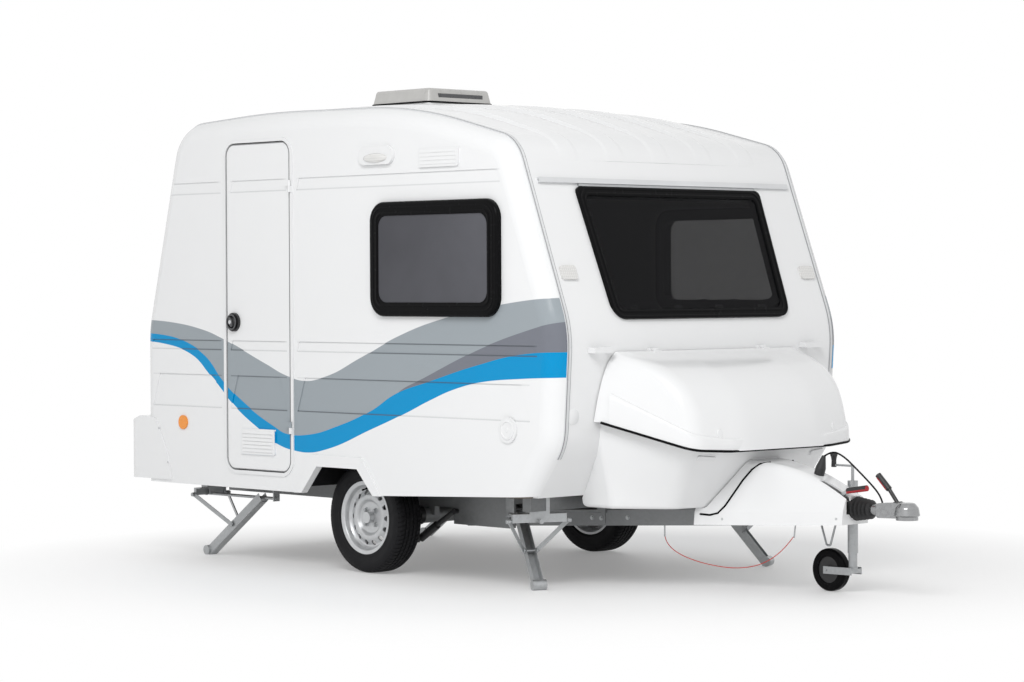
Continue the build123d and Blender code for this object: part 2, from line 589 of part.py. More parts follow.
brake = rod((215, 0, 290), (2240, 0, 368), 5)
brake += block(200, 225, -60, 60, 283, 297)

# Wheels
tyre_half = TYRE_W / 2
flange_half = tyre_half - 14
tyre_rows = [  # radius, distance from the middle plane, radius of that corner
    (RIM_R - 14 + FIT, flange_half - 14.5, 0), (RIM_R + 2, flange_half - 7.6, 6),
    (TYRE_R - 45, tyre_half, 40), (TYRE_R, tyre_half - 12, 22),
]
tyre_rows = [(r, -w, c) for r, w, c in tyre_rows] + tyre_rows[::-1]
tyre = revolve(Plane.XZ * rounded([(r, w, c) for r, w, c in tyre_rows]), Axis.Z)
rim_rows = [
    (RIM_R, -flange_half, 0), (RIM_R, -flange_half + 8, 0), (RIM_R - 14, -flange_half + 14, 0),
    (RIM_R - 14, flange_half - 14, 0), (RIM_R, flange_half - 8, 0), (RIM_R, flange_half, 0),
    (RIM_R - 20, flange_half - 4, 8), (RIM_R - 26, 40, 12), (RIM_R - 40, 26, 12),
    (RIM_HOLE_PITCH_R - 16, 44, 16), (92, 46, 16), (78, 26, 10), (RIM_BORE_R, 26, 0), (RIM_BORE_R, 18, 0),
    (82, 18, 10), (96, 38, 14), (RIM_HOLE_PITCH_R - 14, 36, 12), (RIM_R - 44, 16, 14), (RIM_R - 22, 10, 6),
    (RIM_R - 22, -flange_half + 12, 6), (RIM_R - 12, -flange_half, 0),
]
rim = revolve(Plane.XZ * rounded(rim_rows), Axis.Z)
for k in range(RIM_HOLES):
    angle = 360.0 * k / RIM_HOLES
    rim -= Rot(0, 0, angle) * Pos(RIM_HOLE_PITCH_R, 0, 30) * Cylinder(RIM_HOLE_R, 60)
drum_depth = hub_y - (arm_y1 + 14)
hub = rod((0, 0, -drum_depth), (0, 0, 50 - drum_depth), DRUM_R - 4)
hub += rod((0, 0, -drum_depth), (0, 0, 18), 70)
hub += rod((0, 0, 10), (0, 0, 60), RIM_BORE_R - FIT)
hub -= rod((0, 0, -drum_depth), (0, 0, 21), STUB_R + STUB_FIT)
to_left = Plane(origin=(0, hub_y, TYRE_R), x_dir=(1, 0, 0), z_dir=(0, 1, 0))
for side, turn in (("left", lambda s: s), ("right", mirrored)):
    save(f"tyre_{side}", turn(to_left * tyre))
    save(f"rim_{side}", turn(to_left * rim), turn(to_left * hub))
print("wheels done")

# Corner steadies: the strut hinges on the bracket, the leg hinges on the strut at half its length,
# and the head of the leg runs along the screw, so that the foot comes straight up under the bracket.
eye_w = 12.0
strut_y = LEG_HALF_W + 5.0


def strut_solid(angle, eye_y):
    half = (STEADY_H_Z - FOOT_R) / (2 * sin(radians(angle)))
    mid_x, mid_z = half * cos(radians(angle)), STEADY_H_Z - half * sin(radians(angle))
    solid = rod((mid_x, -strut_y - 8, mid_z), (mid_x, strut_y + 8, mid_z), PIN_R)
    for s in (-1, 1):
        solid += rod((mid_x, s * strut_y, mid_z), (mid_x, s * (strut_y + 6), mid_z), 13)
        solid += rod((0, s * (eye_y - eye_w / 2), STEADY_H_Z), (0, s * (eye_y + eye_w / 2), STEADY_H_Z), 11)
        across = (eye_y - strut_y, s * mid_x, 0)
        solid += bar((0, s * eye_y, STEADY_H_Z), (mid_x, s * (strut_y + 3), mid_z), 20, 6, across)
    for s in (-1, 1):
        solid -= rod((0, s * (eye_y - 20), STEADY_H_Z), (0, s * (eye_y + 20), STEADY_H_Z), PIN_R + PIN_FIT)
    return solid


def leg_solid(angle):
    ca, sa = cos(radians(angle)), sin(radians(angle))
    length = (STEADY_H_Z - FOOT_R) / sa
    plane = Plane(origin=(length * ca, 0, STEADY_H_Z), x_dir=(-ca, 0, -sa), z_dir=(sa, 0, -ca))
    top, low = -14.0, LEG_DEPTH - 14.0
    channel = block(-20, length + 6, -LEG_HALF_W, LEG_HALF_W, top, low)
    channel -= block(-30, length - 20, -LEG_HALF_W + LEG_T, LEG_HALF_W - LEG_T, top - 5, low - LEG_T)
    channel -= block(-30, -2, -LEG_HALF_W + LEG_T, LEG_HALF_W - LEG_T, top - 5, low + 5)
    channel -= rod((length / 2, -60, 0), (length / 2, 60, 0), PIN_R + PIN_FIT)
    for s in (-1, 1):
        channel += rod((0, s * (SCREW_R + 1.5), 0), (0, s * LEG_HALF_W, 0), 7)
    return plane * channel + rod((0, -34, FOOT_R), (0, 34, FOOT_R), FOOT_R)


def bracket_solid(angle, eye_y):
    z = STEADY_H_Z
    plate_y = eye_y - eye_w
    screw_end = (STEADY_H_Z - FOOT_R) / sin(radians(angle)) * cos(radians(STEADY_UP)) + SCREW_SPARE
    solid = block(-16, -12, -plate_y, plate_y, z - 6, z + 34)
    solid += block(-16, 34, -plate_y, plate_y, z + 30, z + 34)
    for s in (-1, 1):
        cheek_y = s * (plate_y - 2)
        solid += block(-16, 4, cheek_y - 2, cheek_y + 2, z - 9, z + 34)
        solid += rod((0, cheek_y, z), (0, s * (eye_y + 12), z), PIN_R)
        solid += rod((0, s * (eye_y + eye_w / 2 + 1), z), (0, s * (eye_y + 14), z), 10)
    solid += rod((-36, 0, z), (screw_end, 0, z), SCREW_R) + rod((-46, 0, z), (-34, 0, z), 11)
    solid += block(10, 22, -20, 20, z - 4, z + 32)
    solid += block(screw_end - 10, screw_end - 4, -20, 20, z - 14, FLOOR_Z)
    solid += block(-16, 34, -50, 50, z + 30, FLOOR_Z)
    return solid


brackets = []
for name, x, y, heading, angle, eye_y in STEADIES:
    here = Location((x, y, 0), (0, 0, heading))
    save(f"strut_{name}", here * strut_solid(angle, eye_y))
    save(f"leg_{name}", here * leg_solid(angle))
    brackets.append(here * bracket_solid(angle, eye_y) - frame)
save("steady_brackets", *brackets)
print("steadies done")

# Jockey wheel on the left arm
jx, jy = JOCKEY_X, JOCKEY_Y
clamp = block(jx - 26, jx + 26, jy - 40, jy + 32, 338, 380)
sleeve = rod((jx, jy, 185), (jx, jy, 520), JOCKEY_TUBE_R)
sleeve += clamp - frame
sleeve -= rod((jx, jy, 100), (jx, jy, 505), JOCKEY_SLEEVE_R)
sleeve += rod((jx, jy, 515), (jx, jy, 592), 7) + rod((jx, jy, 588), (jx - 113, jy, 588), 5)
sleeve += rod((jx - 113, jy, 580), (jx - 113, jy, 640), 9)
save("jockey_sleeve", sleeve)
inner = rod((jx, jy, 118), (jx, jy, 480), JOCKEY_INNER_R) - rod((jx, jy, 100), (jx, jy, 152), 8 + PIN_FIT)
save("jockey_tube", inner)
fork_y = JOCKEY_W / 2 + 9
fork = rod((jx, jy, 108), (jx, jy, 117.5), 24) + rod((jx, jy, 110), (jx, jy, 148), 8)
fork += block(jx - 22, jx + 20, jy - fork_y - 6, jy + fork_y + 6, 92, 112)
for s in (-1, 1):
    y = jy + s * (fork_y + 3)
    fork += bar((jx + 20, y, 102), (jx - JOCKEY_TRAIL - 16, y, JOCKEY_R), 34, 6, (0, 1, 0))
wheel_x = jx - JOCKEY_TRAIL
fork += rod((wheel_x, jy - fork_y - 12, JOCKEY_R), (wheel_x, jy + fork_y + 12, JOCKEY_R), PIN_R)
save("jockey_fork", fork)
castor = fillet(Cylinder(JOCKEY_R, JOCKEY_W).edges(), 14) - Cylinder(62, 80)
castor_hub = Cylinder(62 - FIT, JOCKEY_W - 12) + Cylinder(18, JOCKEY_W + 8)
castor_hub -= Cylinder(PIN_R + PIN_FIT, 100)
to_castor = Plane(origin=(wheel_x, jy, JOCKEY_R), x_dir=(1, 0, 0), z_dir=(0, 1, 0))
save("jockey_tyre", to_castor * castor)
save("jockey_hub", to_castor * castor_hub)
bow_low = 2 * JOCKEY_R + 9 + BOW_R
bow_points = [(wheel_x - 52, 335), (wheel_x - 10, bow_low), (wheel_x + 12, bow_low), (wheel_x + 52, 338)]
bow_path = FilletPolyline(*bow_points, radius=10)
bow_y = jy - 20
bow_wire = Pos(0, bow_y, 0) * (Plane.XZ * bow_path)
bow = sweep(Plane(origin=bow_wire @ 0, z_dir=bow_wire % 0) * Circle(BOW_R), bow_wire)
print("jockey done")

# Overrun device, bellows and coupling
overrun = rod((2150, 0, DRAW_Z), (2446, 0, DRAW_Z), 30)
overrun += block(2230, 2395, -60, 60, 345, 395)
overrun += rod((2425, 0, DRAW_Z), (2446, 0, DRAW_Z), 44)
overrun -= frame
save("overrun_device", overrun)
save("brake_rod", brake - overrun - frame)
fold = (BELLOWS_X1 - BELLOWS_X0) / FOLDS
ridge = []
for k in range(FOLDS):
    ridge += [(40 - 2 * k, k * fold), (56 - 3 * k, (k + 0.5) * fold)]
fold_end = FOLDS * fold
bellows_face = flat([(DRAW_R + FIT, 0), *ridge, (32, fold_end), (DRAW_R + FIT, fold_end)])
bellows = revolve(Plane.XZ * bellows_face, Axis.Z)
save("bellows", Plane(origin=(BELLOWS_X0, 0, DRAW_Z), x_dir=(0, 1, 0), z_dir=(1, 0, 0)) * bellows)
neck = rod((2446, 0, DRAW_Z), (2640, 0, DRAW_Z), DRAW_R)
HEAD_R = COUPLING_REACH - BALL_X
cap_rows = [(0, SOCKET_Z, 0), (HEAD_R - 8, SOCKET_Z, 0), (HEAD_R - 8, 384, 0), (HEAD_R, 390, 0),
            (HEAD_R - 6, 424, 16), (34, HEAD_TOP_Z, 18), (0, HEAD_TOP_Z, 0)]
head = Pos(BALL_X, 0, 0) * revolve(Plane.XZ * rounded(cap_rows), Axis.Z)
neck_rows = [(2590, 372, 12), (BALL_X, 376, 0), (BALL_X, 440, 0), (2690, 446, 30), (2590, 438, 14)]
head += extrude(Plane.XZ * rounded(neck_rows), amount=33, both=True)
head += neck
head -= Pos(BALL_X, 0, BALL_Z) * Sphere(BALL_R)
head -= rod((BALL_X, 0, SOCKET_Z - 10), (BALL_X, 0, BALL_Z), BALL_R)
save("coupling_head", head)
grip = rod((2690, 0, 440), (2610, 0, 540), 9) + rod((2640, 0, 502), (2576, 0, 564), 14)
grip += rod((2690, -26, 440), (2690, 26, 440), 9)
save("coupling_handle", grip - head)
lever = bar((2290, LEVER_Y, 395), (2440, LEVER_Y, 490), 16, 8, (0, 1, 0))
lever += rod((2436, LEVER_Y, 487), (2550, LEVER_Y, 504), 13)
lever += bar((2290, LEVER_Y, 395), (2270, -31, 385), 16, 8, (0, 1, 0))
save("handbrake_lever", lever - frame - overrun)

# Cover over the arms, cut to the front of the tub and round the jockey wheel


def cover_form(inset):
    sections = []
    for x, foot, top, z0, z1 in COVER_SECTIONS:
        f, t, h = foot - inset, top - inset * 0.8, z1 - inset
        half = [(f, z0 - inset, 0), (f - 6, z0 + 60, 30), (t, h, 40)]
        face = rounded(half + [(-y, z, r) for y, z, r in reversed(half)])
        end = x - inset if x == COVER_SECTIONS[-1][0] else x
        sections.append(Plane(origin=(end, 0, 0), x_dir=(0, 1, 0), z_dir=(1, 0, 0)) * face)
    return loft(sections)


cover = cover_form(0) - cover_form(COVER_T)
tub_room = Pos(8, 0, 0) * tub_outer + tub_outer + block(1500, 1700, -400, 400, 250, 720)
cover = cover - tub_room - rod((jx, jy, 200), (jx, jy, 700), 34)
cover -= block(2280, 2470, LEVER_Y - 14, LEVER_Y + 14, 380, 700)
cover -= rod((2400, 0, DRAW_Z), (2480, 0, DRAW_Z), 48) + rod((2400, 66, 372), (2480, 66, 372), CABLE_R + FIT)
cover = cover.solids().sort_by(SortBy.VOLUME)[-1]
save("drawbar_cover", cover - frame - clamp)
print("drawbar done")

# Rear bumper wrapped round the lower rear corners, with its lamps and number plate
plan = rounded([(REAR_X + 300, -BUMPER_HALF_W, 0), (REAR_X + 300, BUMPER_HALF_W, 0),
                (-BUMPER_REACH + BUMPER_BOW, BUMPER_HALF_W, 60), (-BUMPER_REACH, 0, 0),
                (-BUMPER_REACH + BUMPER_BOW, -BUMPER_HALF_W, 60)])
side_view = rounded([(REAR_X + 255, BUMPER_Z0, 0), (REAR_X + 225, BUMPER_Z0 + 130, 140),
                     (REAR_X + 120, BUMPER_Z1 - 8, 50), (REAR_X - 20, BUMPER_Z1, 60),
                     (-BUMPER_REACH, BUMPER_Z1 - 44, 22), (-BUMPER_REACH, BUMPER_Z0, 0)])
bumper = Pos(0, 0, BUMPER_Z0) * extrude(plan, amount=BUMPER_Z1 - BUMPER_Z0)
bumper = (bumper & extrude(Plane.XZ * side_view, amount=BUMPER_HALF_W + THROUGH, both=True)) - seat
save("rear_bumper", bumper)
lamp_back = -BUMPER_REACH - LAMP_PROUD
lamp = block(lamp_back, REAR_X - 10, LAMP_Y - 130, LAMP_Y + 130, LAMP_Z - 48, LAMP_Z + 48)
lamp = lamp - bumper
lamp = lamp.solids().sort_by(Axis.X)[0]
save("rear_lamps", lamp, mirrored(lamp))
plate = block(-BUMPER_REACH - 3, -BUMPER_REACH + 30, -260, 260, 492, 602) - bumper
save("number_plate", plate.solids().sort_by(Axis.X)[0])

# Lamps, reflectors and small fittings of the body
marker_plane = front_plane(1483.0)
marker = extrude(marker_plane * Pos(834, 0) * RectangleRounded(100, 68, 14), amount=12)
save("front_lamps", marker, mirrored(marker))
reflector = rod((-1293, BODY_HALF_W, 716), (-1293, BODY_HALF_W + 8, 716), 37)
save("side_reflectors", reflector, mirrored(reflector))
lamp_r = side_rect(283, 2062, 254, 92, 45.9, BODY_HALF_W, BODY_HALF_W + 18)
vent_r = side_rect(730, 2039, 284, 94, 14, BODY_HALF_W, BODY_HALF_W + 10)
filler = rod((1202, BODY_HALF_W, 758), (1202, BODY_HALF_W + 10, 758), 60)
save("side_fittings", mirrored(lamp_r), mirrored(vent_r), mirrored(filler), vent_r)
rail = extrude(front_plane(AWNING_Z) * Rectangle(AWNING_LENGTH, 26), amount=15)
rail -= extrude(front_plane(AWNING_Z) * Pos(0, 0, 5) * Rectangle(AWNING_LENGTH + 10, 8), amount=6)
save("awning_rail", rail)
grab = block(KNEE_X + 26, KNEE_X + 40, HANDLE_Y - 62, HANDLE_Y + 62, HANDLE_Z - 13, HANDLE_Z + 13)
for s in (-1, 1):
    y = HANDLE_Y + s * 52
    grab += block(KNEE_X - 30, KNEE_X + 28, y - 10, y + 10, HANDLE_Z - 13, HANDLE_Z + 13)
grab -= seat
save("grab_handles", grab, mirrored(grab))

# Cords: the trailer cable with its parked plug, and the breakaway cable that hangs below the right arm


def cord(points, radius):
    bends = []
    steps = [Vector(*b) - Vector(*a) for a, b in zip(points, points[1:])]
    for a, b in zip(steps, steps[1:]):
        bends.append(0.45 * min(a.length, b.length) / tan(radians(a.get_angle(b)) / 2))
    path = FilletPolyline(*points, radius=bends)
    return sweep(Plane(origin=path @ 0, z_dir=path % 0) * Circle(radius), path)


save("trailer_cable", cord(CABLE_POINTS, CABLE_R))
save("breakaway_cable", cord(BREAK_POINTS, BREAK_R))
plug_body = Plane(origin=PLUG_FOOT, z_dir=Vector(*PLUG_HEAD) - Vector(*PLUG_FOOT)) * (
    Pos(0, 0, 0) * Cylinder(24, 34, align=(Align.CENTER, Align.CENTER, Align.MIN))
    + Pos(0, 0, 34) * Cone(24, 9, 58, align=(Align.CENTER, Align.CENTER, Align.MIN)))
save("cable_plug", plug_body - cover - cord(CABLE_POINTS, CABLE_R + FIT))
hook = rod((1525, -295, 310), (1525, -295, 240), 3.5) + rod((2180, -122.5, 262), (2188, -120, 330), 3.5)
save("drawbar_hooks", bow - frame, hook - frame - cord(BREAK_POINTS, BREAK_R + FIT))
print("all done")
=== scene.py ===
import bpy
import bmesh
import json
import math
from functools import partialmethod
from mathutils import Matrix, Vector
from mathutils.bvhtree import BVHTree


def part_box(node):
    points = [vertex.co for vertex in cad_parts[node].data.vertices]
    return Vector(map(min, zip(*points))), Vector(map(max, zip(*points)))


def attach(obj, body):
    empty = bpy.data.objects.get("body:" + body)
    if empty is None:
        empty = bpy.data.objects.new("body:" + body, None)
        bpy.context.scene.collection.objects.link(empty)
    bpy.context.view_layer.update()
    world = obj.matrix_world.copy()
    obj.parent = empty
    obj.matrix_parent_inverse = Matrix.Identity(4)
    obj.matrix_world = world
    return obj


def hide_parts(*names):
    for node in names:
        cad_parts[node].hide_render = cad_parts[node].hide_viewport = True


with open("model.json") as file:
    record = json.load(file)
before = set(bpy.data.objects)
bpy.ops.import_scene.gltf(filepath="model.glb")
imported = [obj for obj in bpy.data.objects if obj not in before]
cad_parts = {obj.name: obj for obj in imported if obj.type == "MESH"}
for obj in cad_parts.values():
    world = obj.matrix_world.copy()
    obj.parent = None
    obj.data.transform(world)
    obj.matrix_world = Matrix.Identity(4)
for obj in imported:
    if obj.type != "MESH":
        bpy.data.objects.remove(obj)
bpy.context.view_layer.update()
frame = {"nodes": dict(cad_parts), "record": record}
scene = bpy.context.scene
nodes = frame["nodes"]
axleX = sum(p.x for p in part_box("tyre_right")) / 2
print("stage: frame loaded")


class Sock:
    # one output socket; arithmetic on it adds Math nodes to its tree
    def __init__(self, tree, out):
        self.tree, self.out = tree, out

    def op(self, operation, *others):
        return self.tree.node("ShaderNodeMath", {"operation": operation}, dict(enumerate((self, *others))))

    __add__ = partialmethod(op, "ADD")
    __sub__ = partialmethod(op, "SUBTRACT")
    __mul__ = partialmethod(op, "MULTIPLY")
    __truediv__ = partialmethod(op, "DIVIDE")


class Tree:
    # a shader node tree, with one method for any node
    def __init__(self, nt):
        self.nt = nt

    def node(self, kind, settings=None, sockets=None, out=0):
        made = self.nt.nodes.new(kind)
        for key, value in (settings or {}).items():
            if key == "curve":
                points = made.mapping.curves[0].points
                while len(points) < len(value):
                    points.new(0.5, 0.5)
                for point, place in zip(points, value):
                    point.location = place
                made.mapping.update()
            else:
                setattr(made, key, value)
        for key, value in (sockets or {}).items():
            if isinstance(value, Sock):
                self.nt.links.new(value.out, made.inputs[key])
            else:
                made.inputs[key].default_value = value
        return Sock(self, made.outputs[out])

    def place(self, space="Object"):
        return self.node("ShaderNodeTexCoord", out=space)

    def axes(self, space="Object"):
        split = self.node("ShaderNodeSeparateXYZ", sockets={0: self.place(space)})
        return [Sock(self, out) for out in split.out.node.outputs]

    def noise(self, scale, detail=4.0):
        sockets = {"Vector": self.place(), "Scale": scale, "Detail": detail}
        return self.node("ShaderNodeTexNoise", sockets=sockets)

    def mix(self, factor, a, b):
        return self.node("ShaderNodeMix", {"data_type": "RGBA"}, {0: factor, 6: a, 7: b}, out=2)

    def shades(self, factor, color, low, high):
        # between a darker and a paler shade of one colour
        dark, pale = ((*[min(1.0, c * k) for c in color], 1) for k in (low, high))
        return self.mix(factor, dark, pale)

    def spread(self, value, low, high, toLow=0.0, toHigh=1.0):
        return self.node("ShaderNodeMapRange", sockets={0: value, 1: low, 2: high, 3: toLow, 4: toHigh})

    def near(self, value, middle, reach, fade, strength=1.0):
        # full strength within reach of the middle, fading to nought
        return self.spread((value - middle).op("ABSOLUTE"), reach, reach + fade, strength, 0.0)

    def seenRays(self):
        # 1 for what is seen straight, in a reflection or through a pane
        rays = self.node("ShaderNodeLightPath", out="Is Camera Ray")
        for key in ("Is Glossy Ray", "Is Transmission Ray"):
            rays = rays.op("MAXIMUM", self.node("ShaderNodeLightPath", out=key))
        return rays


class Finish(Tree):
    # a material, with the record's slot that it fills
    def __init__(self, name, color, rough, metal=0.0, coat=0.0, slot="", specular=0.5):
        self.slot = slot
        self.mat = bpy.data.materials.new(name)
        self.mat.use_nodes = True
        super().__init__(self.mat.node_tree)
        self.shader = next(n for n in self.nt.nodes if n.type == "BSDF_PRINCIPLED")
        self.mat.diffuse_color = (*color, 1)
        self.set("Base Color", (*color, 1))
        self.set("Roughness", rough)
        self.set("Metallic", metal)
        self.set("Coat Weight", coat)
        self.set("Specular IOR Level", specular)

    def set(self, socket, value):
        if isinstance(value, Sock):
            self.nt.links.new(value.out, self.shader.inputs[socket])
        else:
            self.shader.inputs[socket].default_value = value

    def roughen(self, grain, low, high, band=(0.3, 0.7)):
        # roughness from low to high over the band that a noise mostly keeps to
        self.set("Roughness", self.spread(grain, *band, low, high))

    def bump(self, height, strength, distance=0.001):
        sockets = {"Height": height, "Strength": strength, "Distance": distance}
        self.set("Normal", self.node("ShaderNodeBump", sockets=sockets))


def at(x, y, z):
    # a point given from the axle, in the frame's own place
    return Vector((x + axleX, y, z))


outRight, forward, upward = (0, -1, 0), (1, 0, 0), Vector((0, 0, 1))
white = (0.8, 0.805, 0.81)
gelLook = {"rough": 0.16, "coat": 0.12, "specular": 0.3, "cloud": 3.0, "shade": (0.985, 1.0),
           "wear": 14.0, "wearRough": (0.15, 0.24), "ripple": 160.0, "bump": 0.02}


def gelcoat(name, slot, color=white, s=gelLook):
    f = Finish(name, color, s["rough"], coat=s["coat"], slot=slot, specular=s["specular"])
    f.set("Base Color", f.shades(f.noise(s["cloud"]), color, *s["shade"]))
    f.roughen(f.noise(s["wear"]), *s["wearRough"])
    f.bump(f.noise(s["ripple"], detail=2.0), s["bump"])
    return f


# the painted waves, by place along the body from the axle and height
stripes = {
    "specular": 0.14, "coat": 0.04, "from": -1.7, "length": 3.3, "base": 0.5, "blur": 0.0008,
    "greyTop": [(-1.7, 1.252), (-1.42, 1.243), (-1.12, 1.203), (-0.957, 1.159), (-0.592, 1.033),
                (-0.422, 0.976), (-0.289, 0.954), (-0.145, 0.974), (0.144, 1.076), (0.434, 1.187),
                (0.704, 1.261), (1.163, 1.34), (1.6, 1.378)],
    "darkTop": [(-1.7, 0.6), (0.0, 0.66), (0.36, 0.82), (0.421, 0.913), (0.62, 0.99), (0.925, 1.104),
                (1.113, 1.164), (1.297, 1.212), (1.6, 1.28)],
    "blueTop": [(-1.7, 1.182), (-1.424, 1.169), (-1.301, 1.146), (-1.119, 1.075), (-0.954, 0.94),
                (-0.825, 0.856), (-0.538, 0.721), (-0.414, 0.682), (-0.258, 0.686), (-0.039, 0.734),
                (0.207, 0.814), (0.421, 0.913), (0.661, 0.974), (0.974, 1.051), (1.297, 1.11), (1.6, 1.122)],
    "blueLow": [(-1.7, 1.139), (-1.486, 1.129), (-1.252, 1.084), (-1.06, 0.966), (-0.826, 0.794),
                (-0.652, 0.701), (-0.482, 0.623), (-0.353, 0.6), (-0.259, 0.596), (-0.149, 0.611),
                (0.228, 0.73), (0.473, 0.814), (0.65, 0.881), (0.833, 0.94), (1.004, 0.974), (1.296, 0.997),
                (1.6, 1.007)],
    "paints": {"greyTop": (0.315, 0.35, 0.375), "darkTop": (0.18, 0.19, 0.22), "blueTop": (0.0, 0.27, 0.565),
               "blueLow": white},
    # only the outer skin is painted, and not the vent in the door
    "skin": (0.9, 0.901), "vent": {"at": (-0.655, 0.636), "half": (0.138, 0.066), "blur": 0.001},
    # the pressed lines, darkened with painted shade: height, the strength of the painted shade in the line,
    # and both ends
    "lines": [(0.8015, 1.0, (-1.56, 1.345)), (0.9685, 0.8, (-1.56, 1.345)), (1.1015, 1.0, (-1.575, 1.395)),
              (1.1485, 0.8, (-1.575, 1.395)), (1.9115, 1.0, (-1.4, 1.15)), (1.9685, 0.5, (-1.4, 1.15))],
    "lineHalf": 0.0022, "lineFade": 0.002, "lineEnd": 0.004, "doorLines": (-0.887, -0.423),
    # the lines break at the door, which is on the right side only
    "doorGap": (-0.965, -0.345), "gapBlur": 0.001, "leftSide": (0.0, 0.1),
    # the colour of the painted shade along the lines, and its strength on the white and on the stripes
    "lineShade": (0.1, 0.115, 0.13), "lineShadeOnWhite": 0.17, "lineShadeOnStripe": 0.62,
}


def striped(name, s, isDoor):
    f = gelcoat(name, "gelcoat")
    f.set("Specular IOR Level", s["specular"])
    f.set("Coat Weight", s["coat"])
    x, y, z = f.axes()
    fromAxle = x - axleX
    along = (x - (s["from"] + axleX)) / s["length"]

    def below(key):
        curve = [((p - s["from"]) / s["length"], h - s["base"]) for p, h in s[key]]
        edge = f.node("ShaderNodeFloatCurve", {"curve": curve}, {1: along}) + s["base"]
        return f.spread(edge - z, -s["blur"], s["blur"])

    painted = f.spread(y.op("ABSOLUTE"), *s["skin"])
    if isDoor:
        vent = s["vent"]
        clear = [f.spread((axis - middle).op("ABSOLUTE"), half - vent["blur"], half)
                 for axis, middle, half in zip((fromAxle, z), vent["at"], vent["half"])]
        painted = painted * clear[0].op("MAXIMUM", clear[1])
    under = {key: below(key) for key in s["paints"]}
    color = Sock(f, f.shader.inputs["Base Color"].links[0].from_socket)
    for key, paint in s["paints"].items():
        color = f.mix(under[key] * painted, color, (*paint, 1))

    # painted shade along each pressed line between its ends, broken at the door on the side walls
    lineShade = None
    for height, shadeDepth, ends in s["lines"]:
        low, high = s["doorLines"] if isDoor else ends
        line = f.near(z, height, s["lineHalf"], s["lineFade"], shadeDepth)
        line = line * f.spread(fromAxle, low, low + s["lineEnd"])
        line = line * f.spread(fromAxle, high - s["lineEnd"], high, 1.0, 0.0)
        lineShade = lineShade.op("MAXIMUM", line) if lineShade else line
    if not isDoor:
        back, front = s["doorGap"]
        behind = f.spread(fromAxle, back, back + s["gapBlur"], 1.0, 0.0)
        ahead = f.spread(fromAxle, front, front + s["gapBlur"])
        lineShade = lineShade * behind.op("MAXIMUM", ahead).op("MAXIMUM", f.spread(y, *s["leftSide"]))
    # the painted shade is stronger on the stripes than on the white
    onStripe = under["greyTop"] - under["blueLow"]
    strength = onStripe * (s["lineShadeOnStripe"] - s["lineShadeOnWhite"]) + s["lineShadeOnWhite"]
    f.set("Base Color", f.mix(lineShade * strength * painted, color, (*s["lineShade"], 1)))
    return f


plainLook = {"shade": (0.82, 1.12), "rough": (0.82, 1.2), "finer": 6.0}


def plain(name, slot, color, rough, metal=0.0, grain=40.0, bump=0.0, gloss=0.5, s=plainLook):
    f = Finish(name, color, rough, metal, slot=slot, specular=gloss)
    grainy = f.noise(grain)
    f.set("Base Color", f.shades(grainy, color, *s["shade"]))
    f.roughen(grainy, *(min(1.0, rough * k) for k in s["rough"]))
    if bump:
        f.bump(f.noise(grain * s["finer"], detail=2.0), bump)
    return f


zincLook = {"spangle": 70.0, "spangleShare": 0.3, "cloud": 9.0, "shade": (0.8, 1.2), "rough": (0.75, 1.35),
            "band": (0.2, 0.8), "grain": 120.0, "bump": 0.05}


def galvanised(name, color, rough, metal=0.6, s=zincLook):
    f = Finish(name, color, rough, metal, slot="galvanised")
    cells = {"Vector": f.place(), "Scale": s["spangle"]}
    spangle = f.node("ShaderNodeTexVoronoi", sockets=cells, out="Color")
    patch = f.node("ShaderNodeSeparateColor", sockets={0: spangle})
    tone = patch * s["spangleShare"] + f.noise(s["cloud"]) * (1 - s["spangleShare"])
    f.set("Base Color", f.shades(tone, color, *s["shade"]))
    f.roughen(tone, *(rough * k for k in s["rough"]), s["band"])
    f.bump(f.noise(s["grain"]), s["bump"])
    return f


lensLook = {"rough": 0.12, "coat": 0.5, "shade": (0.86, 1.0), "grain": 30.0, "grainRough": (0.1, 0.16),
            "bump": 0.35, "deep": 0.002}


def ribbedLens(name, slot, color, pitch, s=lensLook):
    f = Finish(name, color, s["rough"], coat=s["coat"], slot=slot)
    _, y, z = f.axes()
    waves = (y * pitch).op("SINE") + (z * pitch).op("SINE")
    f.set("Base Color", f.shades(f.spread(waves, -2.0, 2.0), color, *s["shade"]))
    f.roughen(f.noise(s["grain"]), *s["grainRough"])
    f.bump(waves, s["bump"], s["deep"])
    return f


# the lamp's three fields, divided at places out from the middle
tailLamp = {"red": (0.42, 0.008, 0.008), "amber": (0.75, 0.2, 0.01), "clear": (0.62, 0.62, 0.62),
            "turn": 0.76, "back": 0.63, "blur": 0.001, "pitch": 700.0}


def tailLens(s):
    f = ribbedLens("tail lens", "red_lens", s["red"], s["pitch"])
    _, y, _ = f.axes()
    turning, lit = (f.spread(y.op("ABSOLUTE"), s[k], s[k] + s["blur"]) for k in ("turn", "back"))
    color = f.mix(turning, (*s["red"], 1), (*s["amber"], 1))
    f.set("Base Color", f.mix(lit, (*s["clear"], 1), color))
    return f


tyreLook = {"color": (0.0085, 0.0085, 0.0098), "rough": 0.6, "specular": 0.16, "hub": 0.276, "rings": 520.0,
            "side": 0.262, "fade": 0.004, "dust": 18.0, "shade": (0.75, 1.35), "dustRough": (0.5, 0.68),
            "grain": 220.0, "ringShare": 0.6, "bump": 0.12, "deep": 0.002}


def tyreRubber(s):
    f = Finish("tyre rubber", s["color"], s["rough"], slot="tyre", specular=s["specular"])
    x, _, z = f.axes()
    ahead, above = x - axleX, z - s["hub"]
    reach = (ahead * ahead + above * above).op("SQRT")
    dust = f.noise(s["dust"])
    f.set("Base Color", f.shades(dust, s["color"], *s["shade"]))
    f.roughen(dust, *s["dustRough"])
    rings = (reach * s["rings"]).op("SINE") * f.spread(reach, s["side"], s["side"] + s["fade"], 1.0, 0.0)
    f.bump(rings * s["ringShare"] + f.noise(s["grain"]) * (1 - s["ringShare"]), s["bump"], s["deep"])
    return f


